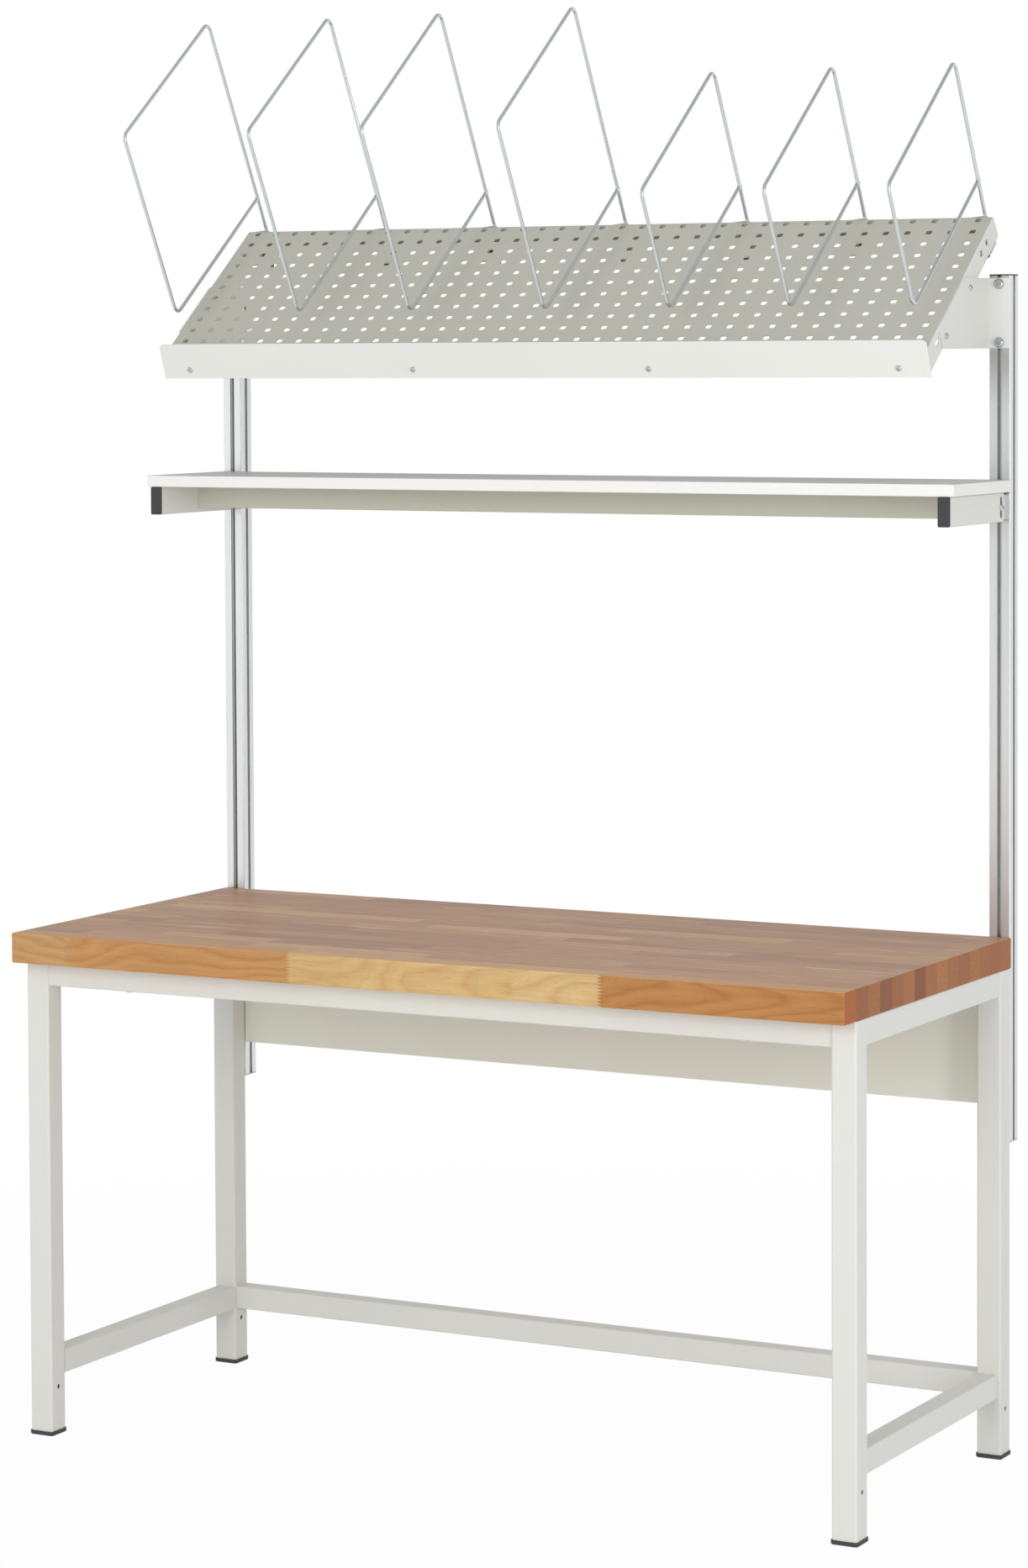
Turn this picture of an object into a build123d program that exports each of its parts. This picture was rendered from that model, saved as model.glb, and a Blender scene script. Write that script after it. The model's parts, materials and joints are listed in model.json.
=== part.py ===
# A packing table: a steel bench with a solid wood top, two slotted aluminium posts
# behind it, a shelf between the posts and a tilted tray with wire dividers on top.
# Millimetres, +X to the table's right, +Y to its rear, +Z up. The origin is on the
# floor, at the middle of the whole table's width and depth.
import os
from math import cos, radians, sin, tan

from build123d import *

os.makedirs("parts", exist_ok=True)

# Wooden top
top_width = 1500
top_depth = 680
top_thickness = 50
top_height = 850
top_edge_radius = 2

# Legs, square tube
leg_size = 42
leg_wall = 2
leg_corner = 4
front_leg_setback = 44
rear_leg_setback = 4
cross_hole_radius = 4
cross_hole_height = 80

# Feet, plugged into the legs
foot_height = 7
foot_flare = 2
foot_chamfer = 1.5
foot_plug_height = 24
foot_plug_wall = 3
foot_plug_clearance = 0.2

# Rails of the bench
rail_wall = 2
rail_corner = 3
top_rail_width = 36
top_rail_height = 42
lower_rail_width = 36
lower_rail_height = 40
lower_rail_bottom = 99

# Screws that hold the wooden top
top_screw_radius = 3
top_screw_head_radius = 6.5
top_screw_head_height = 3.5
top_screw_bite = 34
top_screw_pitch = 560
screw_clearance = 0.2

# Rear panel, a folded sheet under the top
panel_height = 225
panel_sheet = 1.5
panel_flange = 15
panel_gap = 0.3
panel_screw_radius = 2.5
panel_screw_head_radius = 5
panel_screw_head_height = 2.5
panel_screw_pitch = 320
panel_screw_count = 5

# Posts, slotted aluminium profile
post_size = 36
post_corner = 1.5
post_bottom = 515
post_top = 1928
post_gap = 5
slot_width = 8.2
slot_lip = 3.2
slot_inner_width = 16
slot_shoulder = 2.5
slot_depth = 9.1
core_bore_radius = 3.5
corner_void = 5.5
corner_void_offset = 12.9
corner_void_radius = 1
post_cap_thickness = 2
post_cap_peg_length = 12
post_cap_peg_clearance = 0.1

# Bolts and nuts in the posts' slots
bolt_radius = 3
bolt_clearance = 0.2
bolt_past_nut = 1
bolt_head_radius = 6
bolt_head_height = 4
nut_neck_width = 7.6
nut_neck_recess = 0.4
nut_width = 13
nut_thickness = 3.2
nut_end = 10
post_bolt_low = 545
post_bolt_pitch = 175
key_hole_radius = 4
spacer_height = 40

# Shelf board
shelf_height = 1597
shelf_thickness = 20
shelf_depth = 249
shelf_edge_radius = 1.5
shelf_post_gap = 1

# Shelf arms and crossbeam
arm_width = 20
arm_height = 48
arm_wall = 2
arm_corner = 2.5
arm_outset = 4
arm_rear_gap = 17
arm_cap_thickness = 4
arm_cap_plug = 18
arm_cap_plug_wall = 2
arm_cap_clearance = 0.2
arm_slot_width = 9
arm_slot_height = 36
arm_slot_from_end = 11
arm_screw_rise = 0
arm_screw_radius = 3
arm_screw_head_radius = 6.5
arm_screw_head_height = 3
arm_screw_tail = 2
beam_depth = 30
beam_height = 40
beam_wall = 2
beam_corner = 3
beam_setback = 122
board_screw_radius = 2
board_screw_head_radius = 4
board_screw_head_height = 2.5
board_screw_bite = 14
board_screw_access_radius = 5.5
board_screw_inset = 45
beam_screw_pitch = 480

# Arm brackets on the posts
arm_bracket_sheet = 3
arm_bracket_height = 40
arm_bracket_clearance = 0.2
arm_bracket_reach = 42
arm_bolt_pitch = 20

# Tilted tray, perforated sheet
tray_tilt = 37.3
tray_setback = 420.2
tray_front_drop = 123
tray_length = 362
tray_sheet = 1.5
tray_side_flange = 37.5
tray_side_return = 10
tray_rear_flange = 34
tray_rear_return = 18
tray_front_flange = 38
tray_hole = 10
tray_column_pitch = 38
tray_row_pitch = 31.25
tray_columns = 37
tray_rows = 12
flange_hole_depth = 15.5
flange_hole_rear_inset = 50.8
flange_hole_pitch = 28.9
flange_slot_inset = 42.8
flange_slot_depth = 19.8
flange_slot_length = 14

# Front lip of the tray
lip_lean = 20.4
lip_sheet = 2
lip_rise = 21
lip_drop = 42
lip_overhang = 4
lip_corner = 9
lip_screw_radius = 2.5
lip_screw_head_radius = 5
lip_screw_head_height = 2.5
lip_screw_tail = 2
lip_screw_pitch = 439
lip_screw_count = 4
lip_screw_height = 16

# Tray brackets on the posts
bracket_sheet = 3
bracket_height = 114
bracket_below_post_top = 4
bracket_nose_inset = 69
bracket_nose_rake = 12
bracket_bolt_pitch = 95
bracket_bolt_head_radius = 8.5
bracket_bolt_head_height = 5.5
bracket_bolt_socket_radius = 2.9
bracket_bolt_socket_depth = 2.5
bracket_screw_inset = 76.8
bracket_screw_pitch = 127.3
bracket_screw_depth = 26.3
bracket_screw_radius = 2.5
bracket_screw_head_radius = 5
bracket_screw_head_height = 3
bracket_nut_radius = 4.6
bracket_nut_height = 4
bracket_screw_tail = 1.5

# Wire dividers, four tall and three short, and where each stands along the tray
wire_radius = 3
wire_corner = 14
divider_lean = 28.5
divider_rise = 62.4
divider_length = 343
tall_height = 342
short_height = 215
divider_places = [-674.1, -430.8, -214.7, 38.3, 265.4, 479, 690.9]
tall_dividers = 4
leg_weld_length = 44
leg_weld_bite = 0.5
leg_bend_radius = 25
weld_gap = 0.6
weld_bead_radius = 4.2

# Clamp at the foot of each divider
clamp_sheet = 3
clamp_clearance = 0.3
clamp_left = 32
clamp_right = 8
clamp_drop = 56
clamp_jaw_reach = 27
clamp_hook_width = 12
clamp_hook_reach = 6
clamp_hook_sheet = 2
knob_offset = 12
knob_inset = 12
knob_screw_radius = 3
knob_thread_clearance = 0.2
knob_pad_radius = 5
knob_pad_thickness = 2
knob_radius = 10
knob_height = 12
knob_gap = 4
knob_chamfer = 1.5

# Cuts run this far past what they cut
overrun = 5

# Places that follow from the sizes above
tray_cos = cos(radians(tray_tilt))
tray_sin = sin(radians(tray_tilt))
lean_cos = cos(radians(divider_lean))
lean_sin = sin(radians(divider_lean))
clamp_back = tray_length + clamp_clearance + clamp_sheet
clamp_corner_back = clamp_back * tray_cos + clamp_drop * tray_sin
knob_back = tray_length - knob_inset + knob_radius
knob_bottom = clamp_drop + knob_gap + knob_height - knob_chamfer
knob_corner_back = knob_back * tray_cos + knob_bottom * tray_sin
overall_depth = tray_setback + max(clamp_corner_back, knob_corner_back)

front_y = -overall_depth / 2
rear_y = front_y + top_depth
leg_x = (top_width - leg_size) / 2
front_leg_y = front_y + front_leg_setback + leg_size / 2
rear_leg_y = rear_y - rear_leg_setback - leg_size / 2
top_bottom = top_height - top_thickness

post_front_y = rear_leg_y + leg_size / 2 + post_gap
post_y = post_front_y + post_size / 2
post_inner_x = leg_x - post_size / 2

arm_x = leg_x + arm_outset
arm_top = shelf_height - shelf_thickness
shelf_rear_y = post_front_y - shelf_post_gap
shelf_front_y = shelf_rear_y - shelf_depth
arm_end_y = post_front_y - arm_rear_gap
arm_front_y = shelf_front_y + arm_cap_thickness
beam_y = shelf_front_y + beam_setback + beam_depth / 2

bracket_top = post_top - bracket_below_post_top
bracket_bottom = bracket_top - bracket_height
tray_half_width = post_inner_x - bracket_sheet
tray_y = front_y + tray_setback
tray_z = post_top - tray_front_drop


def along(reach, depth=0):
    """Return Y and Z of a point on the tray: up the slope from the lip, and below the surface."""
    y = tray_y + reach * tray_cos + depth * tray_sin
    z = tray_z + reach * tray_sin - depth * tray_cos
    return y, z


def section_at(x):
    """Return the plane across the tray at X: local x up the slope, local y off the surface."""
    return Plane(origin=(x, tray_y, tray_z), x_dir=(0, tray_cos, tray_sin), z_dir=(1, 0, 0))


tray_plane = Plane(origin=(0, tray_y, tray_z), x_dir=(1, 0, 0), z_dir=(0, -tray_sin, tray_cos))
lip_cos = cos(radians(lip_lean))
lip_sin = sin(radians(lip_lean))
lip_plane = Plane(origin=(0, tray_y, tray_z), x_dir=(1, 0, 0), z_dir=(0, -lip_cos, -lip_sin))


def facing_front(x, y, z):
    """Return a plane at a place on the table whose normal points to the front."""
    return Plane(origin=(x, y, z), x_dir=(1, 0, 0), z_dir=(0, -1, 0))


def facing_right(x, y, z):
    """Return a plane at a place on the table whose normal points to the right."""
    return Plane(origin=(x, y, z), x_dir=(0, 1, 0), z_dir=(1, 0, 0))


def facing_up(x, y, z):
    """Return a plane at a place on the table whose normal points up."""
    return Plane(origin=(x, y, z), x_dir=(1, 0, 0), z_dir=(0, 0, 1))


def write(piece, name):
    """Label a finished piece and write it as its own STEP file."""
    piece.part.label = name
    export_step(piece.part, f"parts/{name}.step")


def write_pair(right, name):
    """Write a right-hand piece and its mirror image on the left."""
    with BuildPart() as left:
        mirror(right.part, about=Plane.YZ)
    write(right, f"right_{name}")
    write(left, f"left_{name}")


def tube(plane, width, height, wall, corner, length):
    """Return a rounded tube that starts on a plane and follows its normal."""
    with BuildPart() as piece:
        with BuildSketch(plane):
            RectangleRounded(width, height, corner)
            RectangleRounded(width - 2 * wall, height - 2 * wall, corner - wall / 2, mode=Mode.SUBTRACT)
        extrude(amount=length)
    return piece


def rod(plane, radius, length, mode=Mode.ADD):
    """Add or cut a round rod that starts on a plane and follows its normal."""
    with BuildSketch(plane) as profile:
        Circle(radius)
    extrude(profile.sketch, amount=length, mode=mode)


def bolt(plane, head_radius, head_height, shank_radius, length):
    """Add a bolt with a chamfered head on a plane and its shank behind it."""
    edge = head_height / 2
    with BuildSketch(Plane(origin=plane.origin, x_dir=plane.x_dir, z_dir=-plane.y_dir)) as profile:
        with BuildLine():
            Polyline(
                (0, -length),
                (shank_radius, -length),
                (shank_radius, 0),
                (head_radius, 0),
                (head_radius, head_height - edge),
                (head_radius - edge, head_height),
                (0, head_height),
                close=True,
            )
        make_face()
    revolve(profile.sketch, axis=Axis(plane.origin, plane.z_dir))


def slot_nut(x, heights):
    """Add a nut bar in a post's front slot, with a bore at each height."""
    low = min(heights) - nut_end
    neck = nut_neck_width / 2
    wide = nut_width / 2
    lip_y = post_front_y + slot_lip
    with BuildSketch(facing_up(x, 0, low)) as profile:
        with BuildLine():
            Polyline(
                (-neck, post_front_y + nut_neck_recess),
                (neck, post_front_y + nut_neck_recess),
                (neck, lip_y),
                (wide, lip_y),
                (wide, lip_y + nut_thickness),
                (-wide, lip_y + nut_thickness),
                (-wide, lip_y),
                (-neck, lip_y),
                close=True,
            )
        make_face()
    extrude(profile.sketch, amount=max(heights) + nut_end - low)
    for height in heights:
        rod(facing_front(x, lip_y + nut_thickness + overrun, height), bolt_radius + bolt_clearance,
            slot_lip + nut_thickness + 2 * overrun, Mode.SUBTRACT)


nut_back = slot_lip + nut_thickness + bolt_past_nut
post_bolt_heights = [post_bolt_low, post_bolt_low + post_bolt_pitch]


# Wooden top with blind holes for its screws
front_rail_y = front_leg_y
rear_rail_y = rear_leg_y
side_rail_x = leg_x
top_screw_places = [
    (column * top_screw_pitch, y) for y in (front_rail_y, rear_rail_y) for column in (-1, 0, 1)
]
top_screw_places.append((side_rail_x, (front_rail_y + rear_rail_y) / 2))
top_screw_places.append((-side_rail_x, (front_rail_y + rear_rail_y) / 2))

with BuildPart() as table_top:
    with BuildSketch(Plane.XY.offset(top_bottom)):
        with Locations((0, front_y + top_depth / 2)):
            Rectangle(top_width, top_depth)
    extrude(amount=top_thickness)
    fillet(table_top.edges(), radius=top_edge_radius)
    for x, y in top_screw_places:
        rod(facing_up(x, y, top_bottom), top_screw_radius + screw_clearance, top_screw_bite + screw_clearance,
            Mode.SUBTRACT)
write(table_top, "table_top")

# Legs, with a cross hole near the floor, and bolt holes in the rear ones
for place, y in (("front", front_leg_y), ("rear", rear_leg_y)):
    leg = tube(facing_up(leg_x, y, foot_height), leg_size, leg_size, leg_wall, leg_corner,
               top_bottom - foot_height)
    with leg:
        rod(facing_right(leg_x - leg_size / 2 - overrun, y, cross_hole_height), cross_hole_radius,
            leg_size + 2 * overrun, Mode.SUBTRACT)
        if place == "rear":
            for height in post_bolt_heights:
                rod(facing_front(leg_x, y, height), key_hole_radius, leg_size / 2 + overrun, Mode.SUBTRACT)
                rod(facing_front(leg_x, y + leg_size / 2 + overrun, height), bolt_radius + bolt_clearance,
                    leg_size / 2 + overrun, Mode.SUBTRACT)
    write_pair(leg, f"{place}_leg")

    plug = leg_size - 2 * leg_wall - 2 * foot_plug_clearance
    with BuildPart() as foot:
        with BuildSketch(facing_up(leg_x, y, 0)):
            RectangleRounded(leg_size + 2 * foot_flare, leg_size + 2 * foot_flare, leg_corner + foot_flare)
        extrude(amount=foot_height)
        chamfer(foot.faces().sort_by(Axis.Z)[0].edges(), length=foot_chamfer)
        with BuildSketch(facing_up(leg_x, y, foot_height)):
            RectangleRounded(plug, plug, leg_corner - leg_wall / 2)
            RectangleRounded(plug - 2 * foot_plug_wall, plug - 2 * foot_plug_wall, leg_wall,
                             mode=Mode.SUBTRACT)
        extrude(amount=foot_plug_height)
    write_pair(foot, f"{place}_foot")

# Top rails under the wood and lower rails near the floor, welded between the legs
rail_length_x = 2 * leg_x - leg_size
rail_length_y = rear_leg_y - front_leg_y - leg_size
top_rail_z = top_bottom - top_rail_height / 2
lower_rail_z = lower_rail_bottom + lower_rail_height / 2
rail_start_x = -rail_length_x / 2
rail_start_y = rear_leg_y - leg_size / 2

for place, y in (("front", front_rail_y), ("rear", rear_rail_y)):
    rail = tube(facing_right(rail_start_x, y, top_rail_z), top_rail_width, top_rail_height, rail_wall,
                rail_corner, rail_length_x)
    with rail:
        for screw_x, screw_y in top_screw_places:
            if screw_y == y:
                rod(facing_up(screw_x, y, top_bottom - top_rail_height - overrun),
                    top_screw_radius + screw_clearance, top_rail_height + 2 * overrun, Mode.SUBTRACT)
        if place == "rear":
            for column in range(panel_screw_count):
                x = (column - (panel_screw_count - 1) / 2) * panel_screw_pitch
                rod(facing_front(x, y + top_rail_width / 2 + overrun, top_rail_z),
                    panel_screw_radius + screw_clearance, rail_wall + 2 * overrun, Mode.SUBTRACT)
    write(rail, f"{place}_top_rail")

side_top_rail = tube(facing_front(side_rail_x, rail_start_y, top_rail_z), top_rail_width, top_rail_height,
                     rail_wall, rail_corner, rail_length_y)
with side_top_rail:
    rod(facing_up(side_rail_x, (front_rail_y + rear_rail_y) / 2, top_bottom - top_rail_height - overrun),
        top_screw_radius + screw_clearance, top_rail_height + 2 * overrun, Mode.SUBTRACT)
write_pair(side_top_rail, "top_rail")

lower_side_x = leg_x - leg_size / 2 + lower_rail_width / 2
side_lower_rail = tube(facing_front(lower_side_x, rail_start_y, lower_rail_z), lower_rail_width,
                       lower_rail_height, rail_wall, rail_corner, rail_length_y)
write_pair(side_lower_rail, "lower_rail")

lower_rear_y = rear_leg_y + leg_size / 2 - lower_rail_width / 2
rear_lower_rail = tube(facing_right(rail_start_x, lower_rear_y, lower_rail_z), lower_rail_width,
                       lower_rail_height, rail_wall, rail_corner, rail_length_x)
write(rear_lower_rail, "rear_lower_rail")

# Screws from the top rails up into the wood
with BuildPart() as table_top_screws:
    for x, y in top_screw_places:
        head = Plane(origin=(x, y, top_bottom - top_rail_height), x_dir=(1, 0, 0), z_dir=(0, 0, -1))
        bolt(head, top_screw_head_radius, top_screw_head_height, top_screw_radius,
             top_rail_height + top_screw_bite)
write(table_top_screws, "table_top_screws")

# Rear panel: a pan of sheet metal, open at the front and at its top behind the rail
panel_y = rear_rail_y + top_rail_width / 2
panel_width = rail_length_x - 2 * panel_gap
panel_bottom = top_bottom - panel_height
flange_height = panel_height - top_rail_height - panel_gap
with BuildPart() as rear_panel:
    with BuildSketch(facing_front(0, panel_y, 0)):
        with Locations((0, panel_bottom + (panel_height - panel_gap) / 2)):
            Rectangle(panel_width, panel_height - panel_gap)
    extrude(amount=-panel_sheet)
    with BuildSketch(facing_front(0, panel_y, 0)):
        with Locations((0, panel_bottom + flange_height / 2)):
            Rectangle(panel_width, flange_height)
        with Locations((0, panel_bottom + panel_sheet + flange_height / 2)):
            Rectangle(panel_width - 2 * panel_sheet, flange_height, mode=Mode.SUBTRACT)
    extrude(amount=panel_flange)
    for column in range(panel_screw_count):
        x = (column - (panel_screw_count - 1) / 2) * panel_screw_pitch
        rod(facing_front(x, panel_y + panel_sheet + overrun, top_rail_z), panel_screw_radius + screw_clearance,
            panel_sheet + 2 * overrun, Mode.SUBTRACT)
write(rear_panel, "rear_panel")

with BuildPart() as rear_panel_screws:
    for column in range(panel_screw_count):
        x = (column - (panel_screw_count - 1) / 2) * panel_screw_pitch
        head = Plane(origin=(x, panel_y + panel_sheet, top_rail_z), x_dir=(-1, 0, 0), z_dir=(0, 1, 0))
        bolt(head, panel_screw_head_radius, panel_screw_head_height, panel_screw_radius,
             panel_sheet + rail_wall + panel_screw_radius)
write(rear_panel_screws, "rear_panel_screws")

# Posts with a slot down each of their four sides
half_post = post_size / 2
half_slot = slot_width / 2
half_inner = slot_inner_width / 2
lip_level = half_post - slot_lip
shoulder_level = lip_level - slot_shoulder
floor_level = half_post - slot_depth
half_floor = half_inner - (shoulder_level - floor_level)
slot_outline = [
    (-half_slot, half_post),
    (-half_slot, lip_level),
    (-half_inner, lip_level),
    (-half_inner, shoulder_level),
    (-half_floor, floor_level),
    (half_floor, floor_level),
    (half_inner, shoulder_level),
    (half_inner, lip_level),
    (half_slot, lip_level),
    (half_slot, half_post),
]
with BuildPart() as post:
    with BuildSketch(facing_up(leg_x, post_y, post_bottom)):
        RectangleRounded(post_size, post_size, post_corner)
        with PolarLocations(0, 4):
            Polygon(*slot_outline, align=None, mode=Mode.SUBTRACT)
        with GridLocations(2 * corner_void_offset, 2 * corner_void_offset, 2, 2):
            RectangleRounded(corner_void, corner_void, corner_void_radius, mode=Mode.SUBTRACT)
        Circle(core_bore_radius, mode=Mode.SUBTRACT)
    extrude(amount=post_top - post_bottom)
write_pair(post, "post")

# End caps of the posts, with a peg in the middle bore
with BuildPart() as post_caps:
    for plane in (
        facing_up(leg_x, post_y, post_top),
        Plane(origin=(leg_x, post_y, post_bottom), x_dir=(1, 0, 0), z_dir=(0, 0, -1)),
    ):
        with BuildSketch(plane):
            RectangleRounded(post_size, post_size, post_corner)
        extrude(amount=post_cap_thickness)
        rod(plane, core_bore_radius - post_cap_peg_clearance, -post_cap_peg_length)
    mirror(about=Plane.YZ)
write(post_caps, "post_caps")

# Spacers, bolts and nuts that carry each post on its rear leg
leg_back_y = rear_leg_y + leg_size / 2
with BuildPart() as post_spacers:
    for height in post_bolt_heights:
        with BuildSketch(facing_front(leg_x, post_front_y, height)):
            Rectangle(post_size, spacer_height)
            Circle(bolt_radius + bolt_clearance, mode=Mode.SUBTRACT)
        extrude(amount=post_gap)
    mirror(about=Plane.YZ)
write(post_spacers, "post_spacers")

with BuildPart() as post_bolts:
    for height in post_bolt_heights:
        bolt(facing_front(leg_x, leg_back_y - leg_wall, height), bolt_head_radius, bolt_head_height,
             bolt_radius, leg_wall + post_gap + nut_back)
    mirror(about=Plane.YZ)
write(post_bolts, "post_bolts")

with BuildPart() as post_nuts:
    for height in post_bolt_heights:
        slot_nut(leg_x, [height])
    mirror(about=Plane.YZ)
write(post_nuts, "post_nuts")

# Shelf board
with BuildPart() as shelf_board:
    with BuildSketch(Plane.XY.offset(arm_top)):
        with Locations((0, (shelf_front_y + shelf_rear_y) / 2)):
            Rectangle(top_width, shelf_depth)
    extrude(amount=shelf_thickness)
    fillet(shelf_board.edges(), radius=shelf_edge_radius)
    board_screw_places = [
        (side * arm_x, y)
        for side in (-1, 1)
        for y in (arm_front_y + board_screw_inset, arm_end_y - board_screw_inset)
    ]
    beam_screw_places = [(column * beam_screw_pitch, beam_y) for column in (-1, 0, 1)]
    for x, y in board_screw_places + beam_screw_places:
        rod(facing_up(x, y, arm_top), board_screw_radius + screw_clearance, board_screw_bite + screw_clearance,
            Mode.SUBTRACT)
write(shelf_board, "shelf_board")

# Shelf arms, with access holes below each board screw and a slot near the post
arm_z = arm_top - arm_height / 2
arm_slot_y = arm_end_y - arm_slot_from_end
arm = tube(facing_front(arm_x, arm_end_y, arm_z), arm_width, arm_height, arm_wall, arm_corner,
           arm_end_y - arm_front_y)
with arm:
    for y in (arm_front_y + board_screw_inset, arm_end_y - board_screw_inset):
        rod(facing_up(arm_x, y, arm_z), board_screw_radius + screw_clearance, arm_height, Mode.SUBTRACT)
        rod(facing_up(arm_x, y, arm_z - arm_height), board_screw_access_radius, arm_height, Mode.SUBTRACT)
    with BuildSketch(facing_right(arm_x, arm_slot_y, arm_z)) as arm_slot:
        SlotOverall(arm_slot_height, arm_slot_width, rotation=90)
    extrude(arm_slot.sketch, amount=arm_width, mode=Mode.SUBTRACT)
write_pair(arm, "shelf_arm")

with BuildPart() as arm_caps:
    with BuildSketch(facing_front(arm_x, arm_front_y, arm_z)):
        RectangleRounded(arm_width, arm_height, arm_corner)
    extrude(amount=arm_cap_thickness)
    inner_width = arm_width - 2 * arm_wall - 2 * arm_cap_clearance
    inner_height = arm_height - 2 * arm_wall - 2 * arm_cap_clearance
    with BuildSketch(facing_front(arm_x, arm_front_y, arm_z)):
        RectangleRounded(inner_width, inner_height, arm_corner - arm_wall / 2)
        Rectangle(inner_width - 2 * arm_cap_plug_wall, inner_height - 2 * arm_cap_plug_wall,
                  mode=Mode.SUBTRACT)
    extrude(amount=-arm_cap_plug)
    mirror(about=Plane.YZ)
write(arm_caps, "arm_caps")

beam_length = 2 * arm_x - arm_width
beam_z = arm_top - beam_height / 2
shelf_beam = tube(facing_right(-beam_length / 2, beam_y, beam_z), beam_depth, beam_height, beam_wall,
                  beam_corner, beam_length)
with shelf_beam:
    for x, y in beam_screw_places:
        rod(facing_up(x, y, beam_z), board_screw_radius + screw_clearance, beam_height, Mode.SUBTRACT)
        rod(facing_up(x, y, beam_z - beam_height), board_screw_access_radius, beam_height, Mode.SUBTRACT)
write(shelf_beam, "shelf_beam")

with BuildPart() as board_screws:
    for places, wall in ((board_screw_places, arm_wall), (beam_screw_places, beam_wall)):
        for x, y in places:
            head = Plane(origin=(x, y, arm_top - wall), x_dir=(1, 0, 0), z_dir=(0, 0, -1))
            bolt(head, board_screw_head_radius, board_screw_head_height, board_screw_radius,
                 wall + board_screw_bite)
write(board_screws, "board_screws")

# Angle brackets that carry the arms: a base on the post and a tongue inside the arm
arm_bracket_x = arm_x + arm_width / 2 - arm_wall - arm_bracket_clearance
arm_bolt_heights = [arm_z - arm_bolt_pitch / 2, arm_z + arm_bolt_pitch / 2]
with BuildPart() as arm_bracket:
    with BuildSketch(facing_up(0, 0, arm_z - arm_bracket_height / 2)):
        with BuildLine():
            Polyline(
                (post_inner_x, post_front_y),
                (arm_bracket_x, post_front_y),
                (arm_bracket_x, post_front_y - arm_bracket_reach),
                (arm_bracket_x - arm_bracket_sheet, post_front_y - arm_bracket_reach),
                (arm_bracket_x - arm_bracket_sheet, post_front_y - arm_bracket_sheet),
                (post_inner_x, post_front_y - arm_bracket_sheet),
                close=True,
            )
        make_face()
    extrude(amount=arm_bracket_height)
    for height in arm_bolt_heights:
        rod(facing_front(leg_x, post_front_y + overrun, height), bolt_radius + bolt_clearance,
            arm_bracket_sheet + 2 * overrun, Mode.SUBTRACT)
    rod(facing_right(arm_bracket_x - arm_bracket_sheet - overrun, arm_slot_y, arm_z + arm_screw_rise),
        arm_screw_radius + bolt_clearance, arm_bracket_sheet + 2 * overrun, Mode.SUBTRACT)
write_pair(arm_bracket, "arm_bracket")

with BuildPart() as arm_bolts:
    for height in arm_bolt_heights:
        bolt(facing_front(leg_x, post_front_y - arm_bracket_sheet, height), bolt_head_radius, bolt_head_height,
             bolt_radius, arm_bracket_sheet + nut_back)
    mirror(about=Plane.YZ)
write(arm_bolts, "arm_bolts")

with BuildPart() as arm_nuts:
    slot_nut(leg_x, arm_bolt_heights)
    mirror(about=Plane.YZ)
write(arm_nuts, "arm_nuts")

with BuildPart() as arm_screws:
    bolt(facing_right(arm_x + arm_width / 2, arm_slot_y, arm_z + arm_screw_rise), arm_screw_head_radius,
         arm_screw_head_height, arm_screw_radius,
         arm_wall + arm_bracket_clearance + arm_bracket_sheet + arm_screw_tail)
    mirror(about=Plane.YZ)
write(arm_screws, "arm_screws")

# Perforated tray: one folded sheet with flanges all round
fold = radians(lip_lean - tray_tilt)
front_flange_end = (tray_front_flange * sin(fold), -tray_front_flange * cos(fold))
lip_screw_columns = [(column - (lip_screw_count - 1) / 2) * lip_screw_pitch for column in range(lip_screw_count)]
lip_screw_level = lip_screw_height - lip_drop
bracket_screw_insets = [bracket_screw_inset, bracket_screw_inset + bracket_screw_pitch]
rear_hole_inset = tray_length - flange_hole_rear_inset
with BuildPart() as tray:
    with BuildSketch(section_at(-tray_half_width)):
        with BuildLine():
            Polyline(
                (tray_length - tray_rear_return, -tray_rear_flange),
                (tray_length, -tray_rear_flange),
                (tray_length, 0),
                (0, 0),
                front_flange_end,
            )
            offset(amount=tray_sheet, side=Side.LEFT, kind=Kind.INTERSECTION)
        make_face()
    extrude(amount=2 * tray_half_width)
    with BuildSketch(section_at(tray_half_width)):
        with BuildLine():
            Polyline(
                (0, 0),
                (tray_length, 0),
                (tray_length, -tray_side_flange),
                (-tray_side_flange * tan(-fold), -tray_side_flange),
                close=True,
            )
        make_face()
        with Locations(
            (rear_hole_inset, -flange_hole_depth), (rear_hole_inset - flange_hole_pitch, -flange_hole_depth)
        ):
            Rectangle(tray_hole, tray_hole, mode=Mode.SUBTRACT)
        with Locations((flange_slot_inset, -flange_slot_depth)):
            Rectangle(tray_hole, flange_slot_length, mode=Mode.SUBTRACT)
        with Locations(*[(inset, -bracket_screw_depth) for inset in bracket_screw_insets]):
            Circle(bracket_screw_radius + screw_clearance, mode=Mode.SUBTRACT)
    extrude(amount=-tray_sheet)
    with BuildSketch(section_at(tray_half_width)):
        with Locations((tray_length / 2, tray_sheet / 2 - tray_side_flange)):
            Rectangle(tray_length, tray_sheet)
    extrude(amount=-tray_side_return)
    mirror(about=Plane.YZ)
    for x in lip_screw_columns:
        with BuildSketch(lip_plane.offset(-tray_sheet - overrun)):
            with Locations((x, lip_screw_level)):
                Circle(lip_screw_radius + screw_clearance)
        extrude(amount=tray_sheet + 2 * overrun, mode=Mode.SUBTRACT)
    for row in range(tray_rows):
        row_place = tray_length / 2 + (row - (tray_rows - 1) / 2) * tray_row_pitch
        with BuildSketch(tray_plane):
            with Locations((0, row_place)):
                with GridLocations(tray_column_pitch, tray_row_pitch, tray_columns, 1):
                    Rectangle(tray_hole, tray_hole)
        extrude(amount=-tray_sheet, mode=Mode.SUBTRACT)
write(tray, "tray")

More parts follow.
